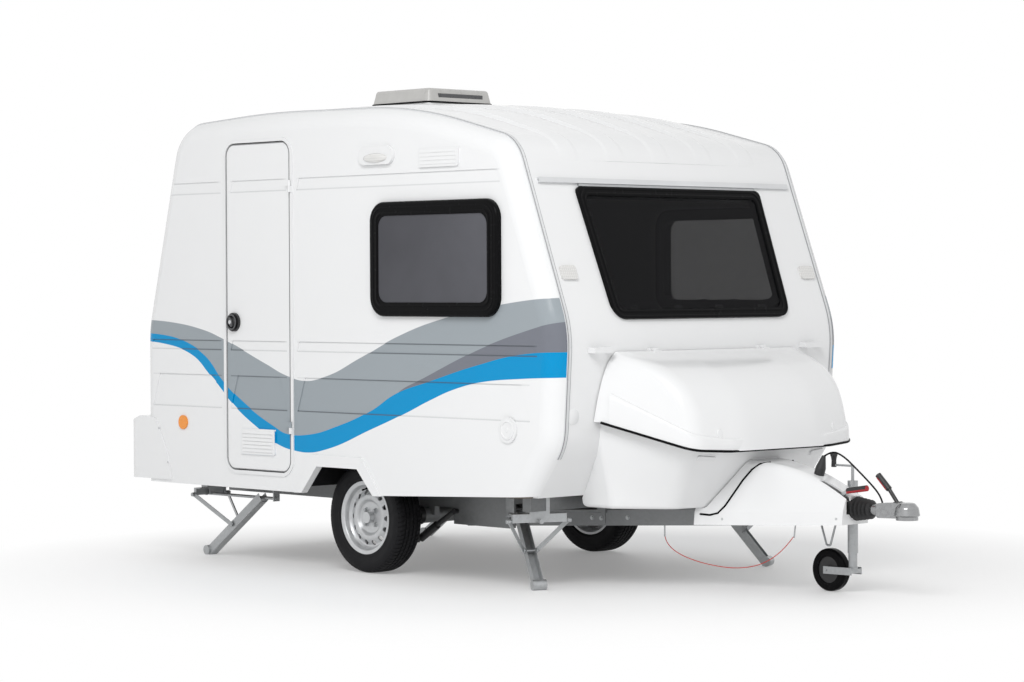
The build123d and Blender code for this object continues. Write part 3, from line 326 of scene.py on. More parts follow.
leverLook = {"grip": (0.45, 0.012, 0.02), "shade": (0.8, 1.0), "from": 2.43, "blur": 0.001, "rough": 0.4,
             "steel": ((0.36, 0.38, 0.39, 1), (0.62, 0.64, 0.65, 1)), "metal": 0.85, "grain": 60.0,
             "grainRough": (0.3, 0.45)}


def leverPaint(s):
    # a bare steel lever with a painted grip from one place forward
    f = Finish("lever paint", s["grip"], s["rough"], slot="grip_red")
    start = s["from"] + axleX
    onGrip = f.spread(f.axes()[0], start, start + s["blur"])
    grain = f.noise(s["grain"])
    steel, grip = f.mix(grain, *s["steel"]), f.shades(grain, s["grip"], *s["shade"])
    f.set("Base Color", f.mix(onGrip, steel, grip))
    f.set("Metallic", f.spread(onGrip, 0.0, 1.0, s["metal"], 0.0))
    f.roughen(grain, *s["grainRough"])
    return f


# the right pane is screened by a blind whose grey grows lighter towards the front, a painted reflection; the
# left one is plain and the end panes are dark
tint = {"ends": (0.006, 0.006, 0.007), "right": (0.095, 0.096, 0.108), "rough": 0.05, "specular": 0.08,
        "endsAlpha": 0.68, "rightAlpha": 0.97, "leftAlpha": 0.36, "rightEdge": (-0.98, -0.97),
        "leftEdge": (0.97, 0.98), "cloud": 1.6, "cloudShade": (0.85, 1.15), "reflectionFrom": (0.25, 1.15),
        "shade": (0.8, 1.15), "wear": 5.0, "wearRough": (0.03, 0.07)}


def windowTint(s):
    f = Finish("tinted acrylic", s["ends"], s["rough"], slot="acrylic", specular=s["specular"])
    x, y, _ = f.axes()
    right = f.spread(y, *s["rightEdge"], 1.0, 0.0)
    haze = f.spread(f.noise(s["cloud"]), 0.3, 0.7, *s["cloudShade"])
    # painted reflection on the blind: its grey darker at the back and lighter at the front, with a random
    # haze over it
    shade = f.spread(x - axleX, *s["reflectionFrom"], *s["shade"]) * haze
    blind = f.node("ShaderNodeCombineColor", sockets={k: shade * c for k, c in enumerate(s["right"])})
    f.set("Base Color", f.mix(right, (*s["ends"], 1), blind))
    left = f.spread(y, *s["leftEdge"], 0.0, s["endsAlpha"] - s["leftAlpha"])
    f.set("Alpha", f.spread(right, 0.0, 1.0, s["endsAlpha"], s["rightAlpha"]) - left)
    f.roughen(f.noise(s["wear"]), *s["wearRough"])
    return f


# the body's side profile, as rows of x and z from the axle and the corner's radius
bodyLines = {
    "seam": 0.915,
    "profile": [(-1.65, 0.25, 0.12), (-1.65, 1.21, 0.6), (-1.366, 2.274, 0.22), (-0.63, 2.313, 7.0),
                (0.47, 2.294, 3.0), (1.187, 2.114, 0.2), (1.528, 1.218, 0.5), (1.492, 0.69, 0.26),
                (1.17, 0.25, 0.12)],
}
seamLook = {"strip": (0.62, 0.63, 0.64), "dark": (0.2, 0.2, 0.21), "rough": 0.3, "line": 0.0095,
            "half": 0.0016, "fade": 0.0006, "grain": 25.0, "grainRough": (0.25, 0.38)}


def seamPaint(s):
    # a pale strip with a dark line along both its edges
    f = Finish("seam strip", s["strip"], s["rough"], slot="white_plastic")
    away = (f.axes()[1].op("ABSOLUTE") - bodyLines["seam"]).op("ABSOLUTE")
    line = f.near(away, s["line"], s["half"], s["fade"])
    f.set("Base Color", f.mix(line, (*s["strip"], 1), (*s["dark"], 1)))
    f.roughen(f.noise(s["grain"]), *s["grainRough"])
    return f


finishes = {
    "gelcoat": gelcoat("white gelcoat", "gelcoat"),
    "floor": plain("floor board", "floor", (0.13, 0.11, 0.09), 0.7, grain=12.0),
    "galvanised": galvanised("galvanised steel", (0.4, 0.412, 0.42), 0.36),
    "black_steel": plain("black steel", "black_steel", (0.02, 0.02, 0.021), 0.4, bump=0.05),
    "rubber": plain("black rubber", "rubber", (0.005, 0.005, 0.0055), 0.24, gloss=0.05),
    "tyre": tyreRubber(tyreLook),
    "silver_steel": plain("silver wheel paint", "silver_steel", (0.56, 0.57, 0.58), 0.34, 0.55, bump=0.03),
    "acrylic": windowTint(tint),
    "aluminium": plain("rail aluminium", "aluminium", (0.66, 0.67, 0.68), 0.35, 0.25, grain=5.0),
    "white_plastic": gelcoat("white plastic", "white_plastic", (0.78, 0.785, 0.79)),
    "black_plastic": plain("black plastic", "black_plastic", (0.018, 0.018, 0.019), 0.42, bump=0.08),
    "dome_plastic": plain("dome plastic", "dome_plastic", (0.5, 0.495, 0.48), 0.3, grain=9.0),
    "red_lens": tailLens(tailLamp),
    "amber_lens": ribbedLens("amber lens", "amber_lens", (0.95, 0.3, 0.0), 900.0),
    "clear_lens": ribbedLens("clear lens", "clear_lens", (0.74, 0.735, 0.72), 500.0),
    "red_cable": plain("red cable cover", "red_cable", (0.5, 0.03, 0.02), 0.35),
    "grip_red": leverPaint(leverLook),
    "plate": plain("bare plate", "plate", (0.7, 0.7, 0.66), 0.35),
    "trimGrey": plain("grey trim", "white_plastic", (0.42, 0.43, 0.44), 0.35),
    "trimDark": plain("dark trim", "black_plastic", (0.075, 0.076, 0.08), 0.3),
    "sealGrey": plain("grey seal", "rubber", (0.2, 0.205, 0.21), 0.5),
    "ribRubber": plain("bellows rubber", "rubber", (0.022, 0.022, 0.023), 0.42, gloss=0.3),
    "seamStrip": seamPaint(seamLook),
    "castZinc": galvanised("bright zinc casting", (0.34, 0.345, 0.35), 0.22, 0.9),
    # the galvanised steel made darker: painted shade for the parts that sit in shadow under the body
    "shadedZinc": galvanised("shaded zinc", (0.2, 0.206, 0.21), 0.42),
    "sideStripes": striped("striped side", stripes, False),
    "doorStripes": striped("striped door", stripes, True),
}
ownFinish = {
    "side_wall_left": "sideStripes", "side_wall_right": "sideStripes", "door_panel": "doorStripes",
    # the drawbar arms, chassis rails, cross members and axle beam take the zinc darkened as painted shade
    "coupling_head": "castZinc", "bellows": "ribRubber", "drawbar_arms": "shadedZinc",
    "chassis_rails": "shadedZinc", "cross_members": "shadedZinc", "axle_beam": "shadedZinc",
}
slotOf = {s["node"]: s["material_slot"] for s in frame["record"]["subparts"]}
for name, obj in nodes.items():
    obj.data.materials.clear()
    obj.data.materials.append(finishes[ownFinish.get(name, slotOf[name])].mat)
print("stage: finishes")


def meshFrom(name, verts, faces):
    mesh = bpy.data.meshes.new(name)
    mesh.from_pydata([tuple(v) for v in verts], [], faces)
    return mesh


def addMesh(name, mesh, finish, body, replaced=(), sharp=35.0):
    # finish is a key of finishes
    bm = bmesh.new()
    bm.from_mesh(mesh)
    bmesh.ops.recalc_face_normals(bm, faces=bm.faces)
    bm.to_mesh(mesh)
    bm.free()
    if not mesh.materials:
        mesh.materials.append(finishes[finish].mat)
    mesh.shade_smooth()
    mesh.set_sharp_from_angle(angle=math.radians(sharp))
    obj = bpy.data.objects.new(name, mesh)
    scene.collection.objects.link(obj)
    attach(obj, body)
    if replaced:
        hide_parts(*replaced)


def addPiece(name, shape, finish, body="caravan", **more):
    # a piece from a shape, which is a list of points and a list of faces
    addMesh(name, meshFrom(name, *shape), finish, body, **more)


def roundLoop(rows, steps):
    # closed outline from rows of two coordinates and the corner's radius
    points = []
    for k, (x, y, r) in enumerate(rows):
        here = Vector((x, y))
        u = (Vector(rows[k - 1][:2]) - here).normalized()
        v = (Vector(rows[(k + 1) % len(rows)][:2]) - here).normalized()
        half = u.angle(v) / 2
        centre = here + (u + v).normalized() * (r / math.sin(half))
        first, last = (here + way * (r / math.tan(half)) - centre for way in (u, v))
        points += [centre + first.slerp(last, i / steps).normalized() * r for i in range(steps + 1)]
    return points


def roundBox(low, high, tall, r, steps):
    # outline about the origin, by half its width at the foot and the top and half its height
    return roundLoop([(-low, -tall, r), (low, -tall, r), (high, tall, r), (-high, tall, r)], steps)


def oval(halfX, halfY, steps):
    turns = [2 * math.pi * k / steps for k in range(steps)]
    return [Vector((halfX * math.cos(t), halfY * math.sin(t))) for t in turns]


def skin(loops, closed=False, capped=True):
    # faces over loops of equally many points, joined last to first or with a face on each end
    count, m, faces = len(loops), len(loops[0]), []
    for k in range(count if closed else count - 1):
        a, b = k * m, (k + 1) % count * m
        faces += [(a + j, a + (j + 1) % m, b + (j + 1) % m, b + j) for j in range(m)]
    if capped and not closed:
        faces += [tuple(range(m)), tuple(range((count - 1) * m, count * m))]
    return [p for loop in loops for p in loop], faces


def sweepBand(path, section, up, closed=False):
    # section rows are across the path and along up
    loops = []
    for k, p in enumerate(path):
        before = path[k - 1] if closed or k else p
        after = path[(k + 1) % len(path)] if closed or k + 1 < len(path) else p
        along = (after - before).normalized()
        across = along.cross(up).normalized()
        lift = across.cross(along)
        loops.append([p + across * a + lift * b for a, b in section])
    return skin(loops, closed)


# the radius that closes a lathed shape at its middle
tip = 0.0001


def lathe(rows, steps):
    # rows of radius and height about z
    return skin([[Vector((*p, h)) for p in oval(r, r, steps)] for r, h in rows])


def plate(points, low, high, chamfer):
    # flat piece of an outline in x and y, from low to high, with a chamfered upper edge
    middle = sum(points, Vector((0, 0))) / len(points)
    inner = [p + (middle - p).normalized() * chamfer for p in points]
    rows = (points, low), (points, high - chamfer), (inner, high)
    return skin([[Vector((*p, h)) for p in loop] for loop, h in rows])


def join(*parts):
    verts, faces = [], []
    for v, f in parts:
        faces += [tuple(i + len(verts) for i in face) for face in f]
        verts += list(v)
    return verts, faces


def setOn(shape, origin, normal, across):
    # stands a shape made about the origin on a surface, its z along the normal
    z = Vector(normal).normalized()
    x = (Vector(across) - z * Vector(across).dot(z)).normalized()
    turn = Matrix((x, z.cross(x), z)).transposed()
    return [turn @ v + Vector(origin) for v in shape[0]], shape[1]


def mirrored(p, sign):
    return Vector((p[0], sign * p[1], p[2]))


trees = {}
# a start for rays that is clear of the body's sides
besideBody = 1.3


def onSurface(node, start, aim):
    if node not in trees:
        mesh = nodes[node].data
        faces = [tuple(p.vertices) for p in mesh.polygons]
        trees[node] = BVHTree.FromPolygons([v.co for v in mesh.vertices], faces)
    spot, normal, _, _ = trees[node].ray_cast(Vector(start), Vector(aim).normalized())
    return spot, normal


def onSide(node, x, z, sign=-1):
    # the place on a node's outer side, right unless the sign is 1
    return onSurface(node, at(x, sign * besideBody, z), (0, -sign, 0))[0]


def scatterTree(name):
    tree = bpy.data.node_groups.new(name, "GeometryNodeTree")
    sockets = [("Geometry", "INPUT", "Geometry"), ("Stamp", "INPUT", "Object"), ("Coat", "INPUT", "Material"),
               ("Geometry", "OUTPUT", "Geometry")]
    made = [tree.interface.new_socket(n, in_out=way, socket_type="NodeSocket" + kind)
            for n, way, kind in sockets]
    kinds = ["NodeGroupInput", "GeometryNodeObjectInfo", "GeometryNodeInputNamedAttribute",
             "GeometryNodeInputNamedAttribute", "FunctionNodeAxesToRotation", "GeometryNodeInstanceOnPoints",
             "GeometryNodeRealizeInstances", "GeometryNodeSetMaterial", "NodeGroupOutput"]
    start, stamp, facing, along, turn, place, real, coat, end = [tree.nodes.new(k) for k in kinds]
    for attribute, key in ((facing, "facing"), (along, "along")):
        attribute.data_type = "FLOAT_VECTOR"
        attribute.inputs["Name"].default_value = key
    turn.primary_axis, turn.secondary_axis = "Z", "X"
    links = [(start, 0, place, "Points"), (start, 1, stamp, "Object"), (stamp, "Geometry", place, "Instance"),
             (facing, "Attribute", turn, 0), (along, "Attribute", turn, 1), (turn, 0, place, "Rotation"),
             (place, 0, real, 0), (real, 0, coat, "Geometry"), (start, 2, coat, "Material"),
             (coat, 0, end, 0)]
    for a, out, b, into in links:
        tree.links.new(a.outputs[out], b.inputs[into])
    return tree, made[1].identifier, made[2].identifier


scatterGroup, stampKey, coatKey = scatterTree("scatter")


def scatter(name, spots, shape, finish, body="caravan"):
    # one stamp on every spot, given as place, facing and along
    stamp = bpy.data.objects.new("stamp", meshFrom("stamp", *shape))
    mesh = meshFrom(name, [s[0] for s in spots], [])
    for key, column in (("facing", 1), ("along", 2)):
        layer = mesh.attributes.new(key, "FLOAT_VECTOR", "POINT")
        for k, s in enumerate(spots):
            layer.data[k].vector = s[column]
    carrier = bpy.data.objects.new(name, mesh)
    scene.collection.objects.link(carrier)
    modifier = carrier.modifiers.new("scatter", "NODES")
    modifier.node_group = scatterGroup
    modifier[stampKey], modifier[coatKey] = stamp, finishes[finish].mat
    stamped = carrier.evaluated_get(bpy.context.evaluated_depsgraph_get())
    made = bpy.data.meshes.new_from_object(stamped)
    made.name = name
    bpy.data.objects.remove(carrier)
    bpy.data.objects.remove(stamp)
    addMesh(name, made, finish, body)


camera = {"lens": 100.86, "sensor": 36.0, "frame": (1024, 682), "azimuth": 46.69, "height": 1.12,
          "roll": -0.25, "at": (10.87, -10.09, 1.43)}


def cameraPlace(s):
    turn, rise, roll = (math.radians(s[k]) for k in ("azimuth", "height", "roll"))
    level = Matrix.Rotation(turn, 4, "Z") @ Matrix.Rotation(math.pi / 2 - rise, 4, "X")
    return Matrix.Translation(at(*s["at"])) @ level @ Matrix.Rotation(roll, 4, "Z")


viewPlace = cameraPlace(camera)


def fromPhoto(px, py, node):
    # the place on a node that shows at a pixel of the photograph's frame
    wide, tall = camera["frame"]
    step = camera["sensor"] / wide / camera["lens"]
    aim = viewPlace.to_3x3() @ Vector(((px - wide / 2) * step, (tall / 2 - py) * step, -1))
    return onSurface(node, viewPlace.translation, aim)


seam = {
    "low": 0.44, "carriers": ("side_wall", "roof_panel", "front_wall", "rear_wall"), "steps": 24,
    "closest": 0.004, "outside": 0.1, "sharp": 30.0,
    "section": [(-0.004, -0.0125), (0.0022, -0.0125), (0.0046, -0.0095), (0.0046, -0.0035), (0.0028, -0.002),
                (0.0028, 0.002), (0.0046, 0.0035), (0.0046, 0.0095), (0.0022, 0.0125), (-0.004, 0.0125)],
}


def seamTrim(side, sign, s):
    carriers = [c + "_" + side if c == "side_wall" else c for c in s["carriers"]]
    outline = roundLoop(bodyLines["profile"], s["steps"])
    path = []
    for before, p, after in zip(outline, outline[1:], outline[2:]):
        last = path and Vector((path[-1].x, 0, path[-1].z))
        if p.y < s["low"] or (path and (at(p.x, 0, p.y) - last).length < s["closest"]):
            continue
        along = (after - before).normalized()
        out = Vector((-along.y, 0, along.x))
        start = at(p.x, sign * bodyLines["seam"], p.y) + out * s["outside"]
        found = [hit for hit in (onSurface(c, start, -out)[0] for c in carriers) if hit]
        if found:
            path.append(min(found, key=lambda hit: (hit - start).length))
    band = sweepBand(path, s["section"], Vector((0, 1, 0)))
    addPiece("seam_trim_" + side, band, "seamStrip", sharp=s["sharp"])


seamTrim("right", -1, seam)
seamTrim("left", 1, seam)

# half is half the width at the foot and the top, and half the height
windows = {
    "right": {"at": (0.702, -1.0, 1.557), "across": (1, 0, 0), "up": (0, 0, 1),
              "half": (0.456, 0.456, 0.277), "r": 0.095},
    "front": {"at": (1.3914, 0.0, 1.577), "across": (0, 1, 0), "up": (-0.3557, 0, 0.9346),
              "half": (0.614, 0.642, 0.3328), "r": 0.07},
    "rear": {"at": (-1.5406, 0.0, 1.62), "across": (0, -1, 0), "up": (0.2579, 0, 0.9662),
             "half": (0.6, 0.6, 0.26), "r": 0.09},
}
windows["left"] = {**windows["right"], "at": (0.702, 1.0, 1.557), "across": (-1, 0, 0)}


def windowAxes(w):
    across, up = Vector(w["across"]), Vector(w["up"])
    return at(*w["at"]), across, up, across.cross(up)


# rows are inset and thickness
beads = {"side": {"proud": 0.0285, "rows": ((0.03, 0.006), (0.057, 0.0085))},
         "end": {"proud": 0.0125, "rows": ((0.01, 0.0075), (0.036, 0.007))}, "flat": 0.7, "steps": 10}


def windowBeads(s):
    parts = []
    for name, w in windows.items():
        middle, across, up, out = windowAxes(w)
        kind = s["side"] if name in ("right", "left") else s["end"]
        for inset, thick in kind["rows"]:
            loop = roundBox(*(v - inset for v in (*w["half"], w["r"])), s["steps"])
            path = [middle + across * p.x + up * p.y + out * kind["proud"] for p in loop]
            parts.append(sweepBand(path, oval(thick, thick * s["flat"], s["steps"]), out, True))
    addPiece("window_beads", join(*parts), "rubber")


windowBeads(beads)

hinge = {"rise": 0.006, "out": 0.002, "short": 0.4, "steps": 12,
         "section": [(-0.012, -0.003), (0.012, -0.003), (0.012, 0.006), (0.006, 0.0105), (-0.004, 0.0105),
                     (-0.012, 0.004)]}


def hingeStrip(name, s):
    w, n = windows[name], s["steps"]
    middle, across, up, out = windowAxes(w)
    start = middle + up * (w["half"][2] + s["rise"]) + out * s["out"]
    reach = w["half"][1] - w["r"] * s["short"]
    path = [start + across * (reach * k / n) for k in range(-n, n + 1)]
    addPiece("hinge_strip_" + name, sweepBand(path, s["section"], out), "trimGrey")


hingeStrip("front", hinge)
hingeStrip("rear", hinge)

# places are for a window of the half width given
latches = {"places": (-0.44, -0.14, 0.14, 0.44), "halfWidth": 0.6, "drop": 0.062, "behind": 0.016,
           "half": (0.026, 0.011), "r": 0.008, "deep": 0.012, "chamfer": 0.003}


def windowLatches(s):
    wide, tall = s["half"]
    knob = plate(roundBox(wide, wide, tall, s["r"], 4), 0.0, s["deep"], s["chamfer"])
    spots = []
    for w in windows.values():
        middle, across, up, out = windowAxes(w)
        foot = middle - up * (w["half"][2] - s["drop"]) - out * s["behind"]
        for k in s["places"]:
            spots.append((foot + across * (k * w["half"][0] / s["halfWidth"]), out, across))
    scatter("window_latches", spots, knob, "trimGrey")


windowLatches(latches)
print("stage: body trim")

door = {"at": (-0.655, 1.3235), "half": (0.283, 0.8575), "r": 0.085, "inset": 0.0265, "y": -1.003,
        "thick": 0.0021, "steps": 8}


def doorSeal(s):
    wide, tall, r = (v - s["inset"] for v in (*s["half"], s["r"]))
    x, z = s["at"]
    path = [at(x + p.x, s["y"], z + p.y) for p in roundBox(wide, wide, tall, r, s["steps"])]
    band = sweepBand(path, oval(s["thick"], s["thick"], s["steps"]), Vector(outRight), True)
    addPiece("door_seal", band, "sealGrey")


doorSeal(door)

doorHandle = {
    "ring": [(0.0405, -0.001), (0.0405, 0.0016), (0.038, 0.003), (0.0345, 0.003), (0.032, 0.0006),
             (0.032, -0.001)],
    "grip": {"half": (0.011, 0.0275), "low": -0.002, "high": 0.009, "chamfer": 0.003, "along": (1, 0, 0.35)},
    "key": [(tip, 0.004), (0.0105, 0.004), (0.0105, 0.0105), (0.0085, 0.0118), (0.0025, 0.0118),
            (0.002, 0.0105), (tip, 0.0105)],
}


def doorPull(s):
    low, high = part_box("door_lock")
    middle = (low + high) / 2
    spot = onSide("door_lock", middle.x - axleX, middle.z)
    g = s["grip"]
    hoop = setOn(lathe(s["ring"], 40), spot, outRight, forward)
    grip = plate(oval(*g["half"], 28), g["low"], g["high"], g["chamfer"])
    addPiece("door_pull", join(hoop, setOn(grip, spot, outRight, g["along"])), "trimDark", "entry_door")
    key = setOn(lathe(s["key"], 24), spot, outRight, forward)
    addPiece("door_key_lock", key, "silver_steel", "entry_door")


doorPull(doorHandle)

# size is a slat's length, height and depth
louvres = {
    "door_vent_slats": {"node": "door_panel", "body": "entry_door", "at": (-0.655, 0.636), "count": 6,
                        "pitch": 0.0185, "size": (0.244, 0.013, 0.0045), "sides": (-1,)},
    "side_vent_slats": {"node": "side_fittings", "body": "caravan", "at": (0.73, 2.039), "count": 4,
                        "pitch": 0.0185, "size": (0.254, 0.013, 0.002), "sides": (-1, 1)},
}


def slat(length, tall, deep, edge=0.001):
    # a louvre's blade along x, deepest at its lower edge
    half = tall / 2
    section = [(-half, -edge), (half, -edge), (half, deep * 0.2), (0.0, deep * 0.55), (edge - half, deep),
               (-half, deep * 0.8)]
    return skin([[Vector((x, a, b)) for a, b in section] for x in (-length / 2, length / 2)])


def ventSlats(name, s):
    x, middle = s["at"]
    heights = [middle + (k - (s["count"] - 1) / 2) * s["pitch"] for k in range(s["count"])]
    spots = [(onSide(s["node"], x, z, sign), (0, sign, 0), (-sign, 0, 0))
             for sign in s["sides"] for z in heights]
    scatter(name, spots, slat(*s["size"]), "white_plastic", s["body"])


for name, s in louvres.items():
    ventSlats(name, s)

filler = {"at": (1.202, 0.758),
          "rows": [(tip, -0.002), (0.046, -0.002), (0.046, 0.0025), (0.043, 0.004), (0.038, 0.004),
                   (0.036, 0.0015), (0.012, 0.0015), (0.01, 0.003), (tip, 0.003)]}
frontPlug = {"pixel": (573, 417),
             "rows": [(tip, -0.002), (0.037, -0.002), (0.037, 0.001), (0.034, 0.003), (tip, 0.0036)]}


def fillerCap(s, plug):
    cap = setOn(lathe(s["rows"], 40), onSide("side_fittings", *s["at"]), outRight, forward)
    spot, out = fromPhoto(*plug["pixel"], "front_wall")
    cover = setOn(lathe(plug["rows"], 36), spot, out, (0, 1, 0))
    addPiece("filler_cap", join(cap, cover), "white_plastic")


fillerCap(filler, frontPlug)

awningLamp = {"at": (0.283, 2.048), "half": (0.088, 0.023), "tall": 0.014, "rows": 8}


def lampLens(s):
    turns = [k * math.pi / 2 / s["rows"] for k in range(s["rows"] + 1)]
    dome, faces = lathe([(math.cos(t) + tip, math.sin(t)) for t in turns], 40)
    wide, high = s["half"]
    verts = [Vector((v.x * wide, v.y * high, v.z * s["tall"])) for v in dome]
    lens = setOn((verts, faces), onSide("side_fittings", *s["at"]), outRight, forward)
    addPiece("awning_lamp_lens", lens, "clear_lens")


lampLens(awningLamp)
print("stage: door and side fittings")

# the lid's lower edge falls from the wall to the nose, in x and z from the axle
lidEdge = {"wall": (1.528, 0.79), "nose": (1.99, 0.657), "from": 1.5, "turn": 87.0, "steps": 60,
           "outside": 2.0}


def onLid(turn, rise, s=lidEdge):
    # place, normal and aim on the lid, at a turn about its middle and a rise over its edge
    (wallX, wallZ), (noseX, noseZ) = s["wall"], s["nose"]
    fall = (noseZ - wallZ) / (noseX - wallX)
    a = math.radians(turn)
    aim = Vector((math.cos(a), math.sin(a), fall * math.cos(a)))
    middle = at(s["from"], 0, wallZ + (s["from"] - wallX) * fall + rise)
    return *onSurface("locker_lid", middle + aim * s["outside"], -aim), aim.normalized()


def lidTurns(count):
    # the middle turns of the edge, count on each side of the nose
    return [lidEdge["turn"] * k / lidEdge["steps"] for k in range(-count, count + 1)]


lidSeal = {"lift": 0.0065, "thick": 0.0062, "out": 0.0035}


def lidRubber(s):
    hits = [onLid(turn, s["lift"]) for turn in lidTurns(lidEdge["steps"])]
    path = [spot + aim * s["out"] for spot, _, aim in hits if spot]
    band = sweepBand(path, oval(s["thick"], s["thick"], 10), upward)
    addPiece("lid_seal", band, "rubber", "locker_lid")


lidRubber(lidSeal)

# rise is the skirt's height by turn; rows are the share of it and the lean outward there;
# endSteps are the edge's steps that it leaves free at each end
lidSkirt = {
    "rise": [(0, 0.05), (38, 0.056), (50, 0.07), (87, 0.15)], "foot": 0.0075, "proud": 0.0045, "sunk": 0.003,
    "rows": [(0.0, 0.9), (0.2, 0.9), (0.4, 0.88), (0.6, 0.85), (0.78, 0.8), (0.88, 0.72), (0.95, 0.55),
             (0.99, 0.25), (1.0, -0.1)],
    "endSteps": 2,
}


def lidBand(s):
    # a flared skirt round the foot of the lid, that stands upright where the lid leans in
    loops, n = [], len(s["rows"])
    for turn in lidTurns(lidEdge["steps"] - s["endSteps"]):
        low, high = next((p, q) for p, q in zip(s["rise"], s["rise"][1:]) if abs(turn) <= q[0])
        rise = low[1] + (high[1] - low[1]) * (abs(turn) - low[0]) / (high[0] - low[0])
        base = onLid(turn, s["foot"])[0]
        outer, inner = [], []
        for share, lean in s["rows"]:
            spot, out, _ = onLid(turn, s["foot"] + rise * share)
            upright = Vector((base.x - spot.x, base.y - spot.y, 0)) * max(0.0, lean)
            outer.append(spot + upright + out * (s["proud"] * lean))
            inner.append(spot - out * s["sunk"])
        loops.append(outer + inner[::-1])
    verts, faces = skin(loops, capped=False)
    for c in (0, len(verts) - 2 * n):
        faces += [(c + j, c + j + 1, c + 2 * n - 2 - j, c + 2 * n - 1 - j) for j in range(n - 1)]
    addPiece("lid_skirt", (verts, faces), "gelcoat", "locker_lid")


lidBand(lidSkirt)

# the line is in pixels of the photograph
coverSeal = {"thick": 0.0048, "up": (1, 0, 0.3), "sharp": 60.0,
             "line": [(700, 514), (710, 515), (718, 513), (725, 506), (733, 494.5), (743, 480), (752, 469.5),
                      (760, 464), (771, 462.3)]}


def coverRubber(s):
    # the seal's line as the photograph shows it, laid on the cover and the tub, and mirrored
    line = []
    for pixel in s["line"]:
        found = [fromPhoto(*pixel, node)[0] for node in ("drawbar_cover", "locker_tub")]
        line.append(min((p for p in found if p), key=lambda p: (p - viewPlace.translation).length))
    for side, sign in (("right", 1), ("left", -1)):
        path = [mirrored(p, sign) for p in line]
        band = sweepBand(path, oval(s["thick"], s["thick"], 10), Vector(s["up"]))
        addPiece("cover_seal_" + side, band, "rubber", sharp=s["sharp"])


coverRubber(coverSeal)

lockerTabs = {
    "lid": {"body": "locker_lid", "y": 0.4, "z": 0.745, "outline": oval(0.015, 0.024, 28), "tall": 0.0035,
            "chamfer": 0.002},
    "tub": {"body": "caravan", "y": 0.385, "z": 0.628, "outline": roundBox(0.052, 0.052, 0.012, 0.006, 4),
            "tall": 0.008, "chamfer": 0.003},
}
tabSunk, aheadOfLocker = 0.002, 2.4


def lockerMarks(key, s):
    tab = plate(s["outline"], -tabSunk, s["tall"], s["chamfer"])
    parts = []
    for y in (-s["y"], s["y"]):
        spot, out = onSurface("locker_" + key, at(aheadOfLocker, y, s["z"]), (-1, 0, 0))
        parts.append(setOn(tab, spot, out, (0, 1, 0)))
    addPiece("locker_marks_" + key, join(*parts), "white_plastic", s["body"])


for key, s in lockerTabs.items():
    lockerMarks(key, s)

# places are pixels of the photograph, and the left side mirrors the right
screws = {"drawbar_cover": [(722, 519), (836, 519)], "rear_bumper": [(159, 428), (168, 462)],
          "along": (0.3, 1, 0.2)}
screwHead = lathe([(tip, -0.002), (0.006, -0.002), (0.006, 0.001), (0.0045, 0.003), (0.002, 0.0032),
                   (0.0017, 0.0018), (tip, 0.0018)], 12)


def smallScrews(s):
    spots = []
    for node in ("drawbar_cover", "rear_bumper"):
        for pixel in s[node]:
            rows = (*fromPhoto(*pixel, node), s["along"])
            spots += [tuple(mirrored(row, sign) for row in rows) for sign in (1, -1)]
    scatter("cover_screws", spots, screwHead, "silver_steel")


smallScrews(screws)

# two of the bolts hold the plate, the third is in the arm itself
armBolts = {"onPlate": [(592.6, 517.5), (601.7, 518.0)], "onArm": [(627.7, 517.5)], "along": (1, 0, 0.2),
            "plate": {"pixel": (597.0, 517.7), "half": (0.047, 0.026), "r": 0.005, "sunk": 0.001,
                      "tall": 0.004, "chamfer": 0.001}}
hexBolt = join(lathe([(tip, 0.0), (0.011, 0.0), (0.011, 0.002), (tip, 0.002)], 16),
               lathe([(tip, 0.002), (0.0085, 0.002), (0.0085, 0.007), (0.007, 0.0085), (tip, 0.0085)], 6))


def drawbarBolts(s):
    p, node = s["plate"], "drawbar_arms"
    wide, high = p["half"]
    shape = plate(roundBox(wide, wide, high, p["r"], 3), -p["sunk"], p["tall"], p["chamfer"])
    bolts, parts = [], []
    for sign in (1, -1):
        spot, out = fromPhoto(*p["pixel"], node)
        parts.append(setOn(shape, mirrored(spot, sign), mirrored(out, sign), forward))
        for pixel in s["onPlate"] + s["onArm"]:
            spot, out = fromPhoto(*pixel, node)
            lift = p["tall"] if pixel in s["onPlate"] else 0.0
            bolts.append((mirrored(spot + out * lift, sign), mirrored(out, sign), s["along"]))
    scatter("arm_bolts", bolts, hexBolt, "galvanised")
    # the plates take the zinc darkened as painted shade
    addPiece("arm_plates", join(*parts), "shadedZinc")


drawbarBolts(armBolts)

crank = {"at": (2.207, 0.128, 0.578),
         "rows": [(tip, 0.0), (0.0115, 0.0), (0.0125, 0.004), (0.0112, 0.03), (0.0135, 0.045),
                  (0.0175, 0.056), (0.017, 0.066), (0.012, 0.0705), (tip, 0.0715)]}
addPiece("crank_knob", setOn(lathe(crank["rows"], 24), at(*crank["at"]), upward, forward),
         "black_plastic")

# turns are the first and last angle of the open cover's section
grips = {
    "brake": {"from": (2.438, -0.046, 0.4874), "to": (2.549, -0.046, 0.5039), "thick": 0.0146,
              "turns": (-10, 190), "finish": "black_plastic"},
    "coupling": {"from": (2.634, 0.0, 0.506), "to": (2.582, 0.0, 0.5565), "thick": 0.0142,
                 "turns": (190, 350), "finish": "grip_red"},
}
gripSteps, arcSteps, gripInside = 10, 12, 0.93


def gripCover(key, s):
    path = [at(*s["from"]).lerp(at(*s["to"]), k / gripSteps) for k in range(gripSteps + 1)]
    first, last = s["turns"]
    arc = [math.radians(first + (last - first) * k / arcSteps) for k in range(arcSteps + 1)]
    section = [(s["thick"] * math.cos(t), s["thick"] * math.sin(t)) for t in arc]
    section += [(gripInside * a, gripInside * b) for a, b in reversed(section)]
    addPiece(key + "_grip_cover", sweepBand(path, section, upward), s["finish"])


for key, s in grips.items():
    gripCover(key, s)

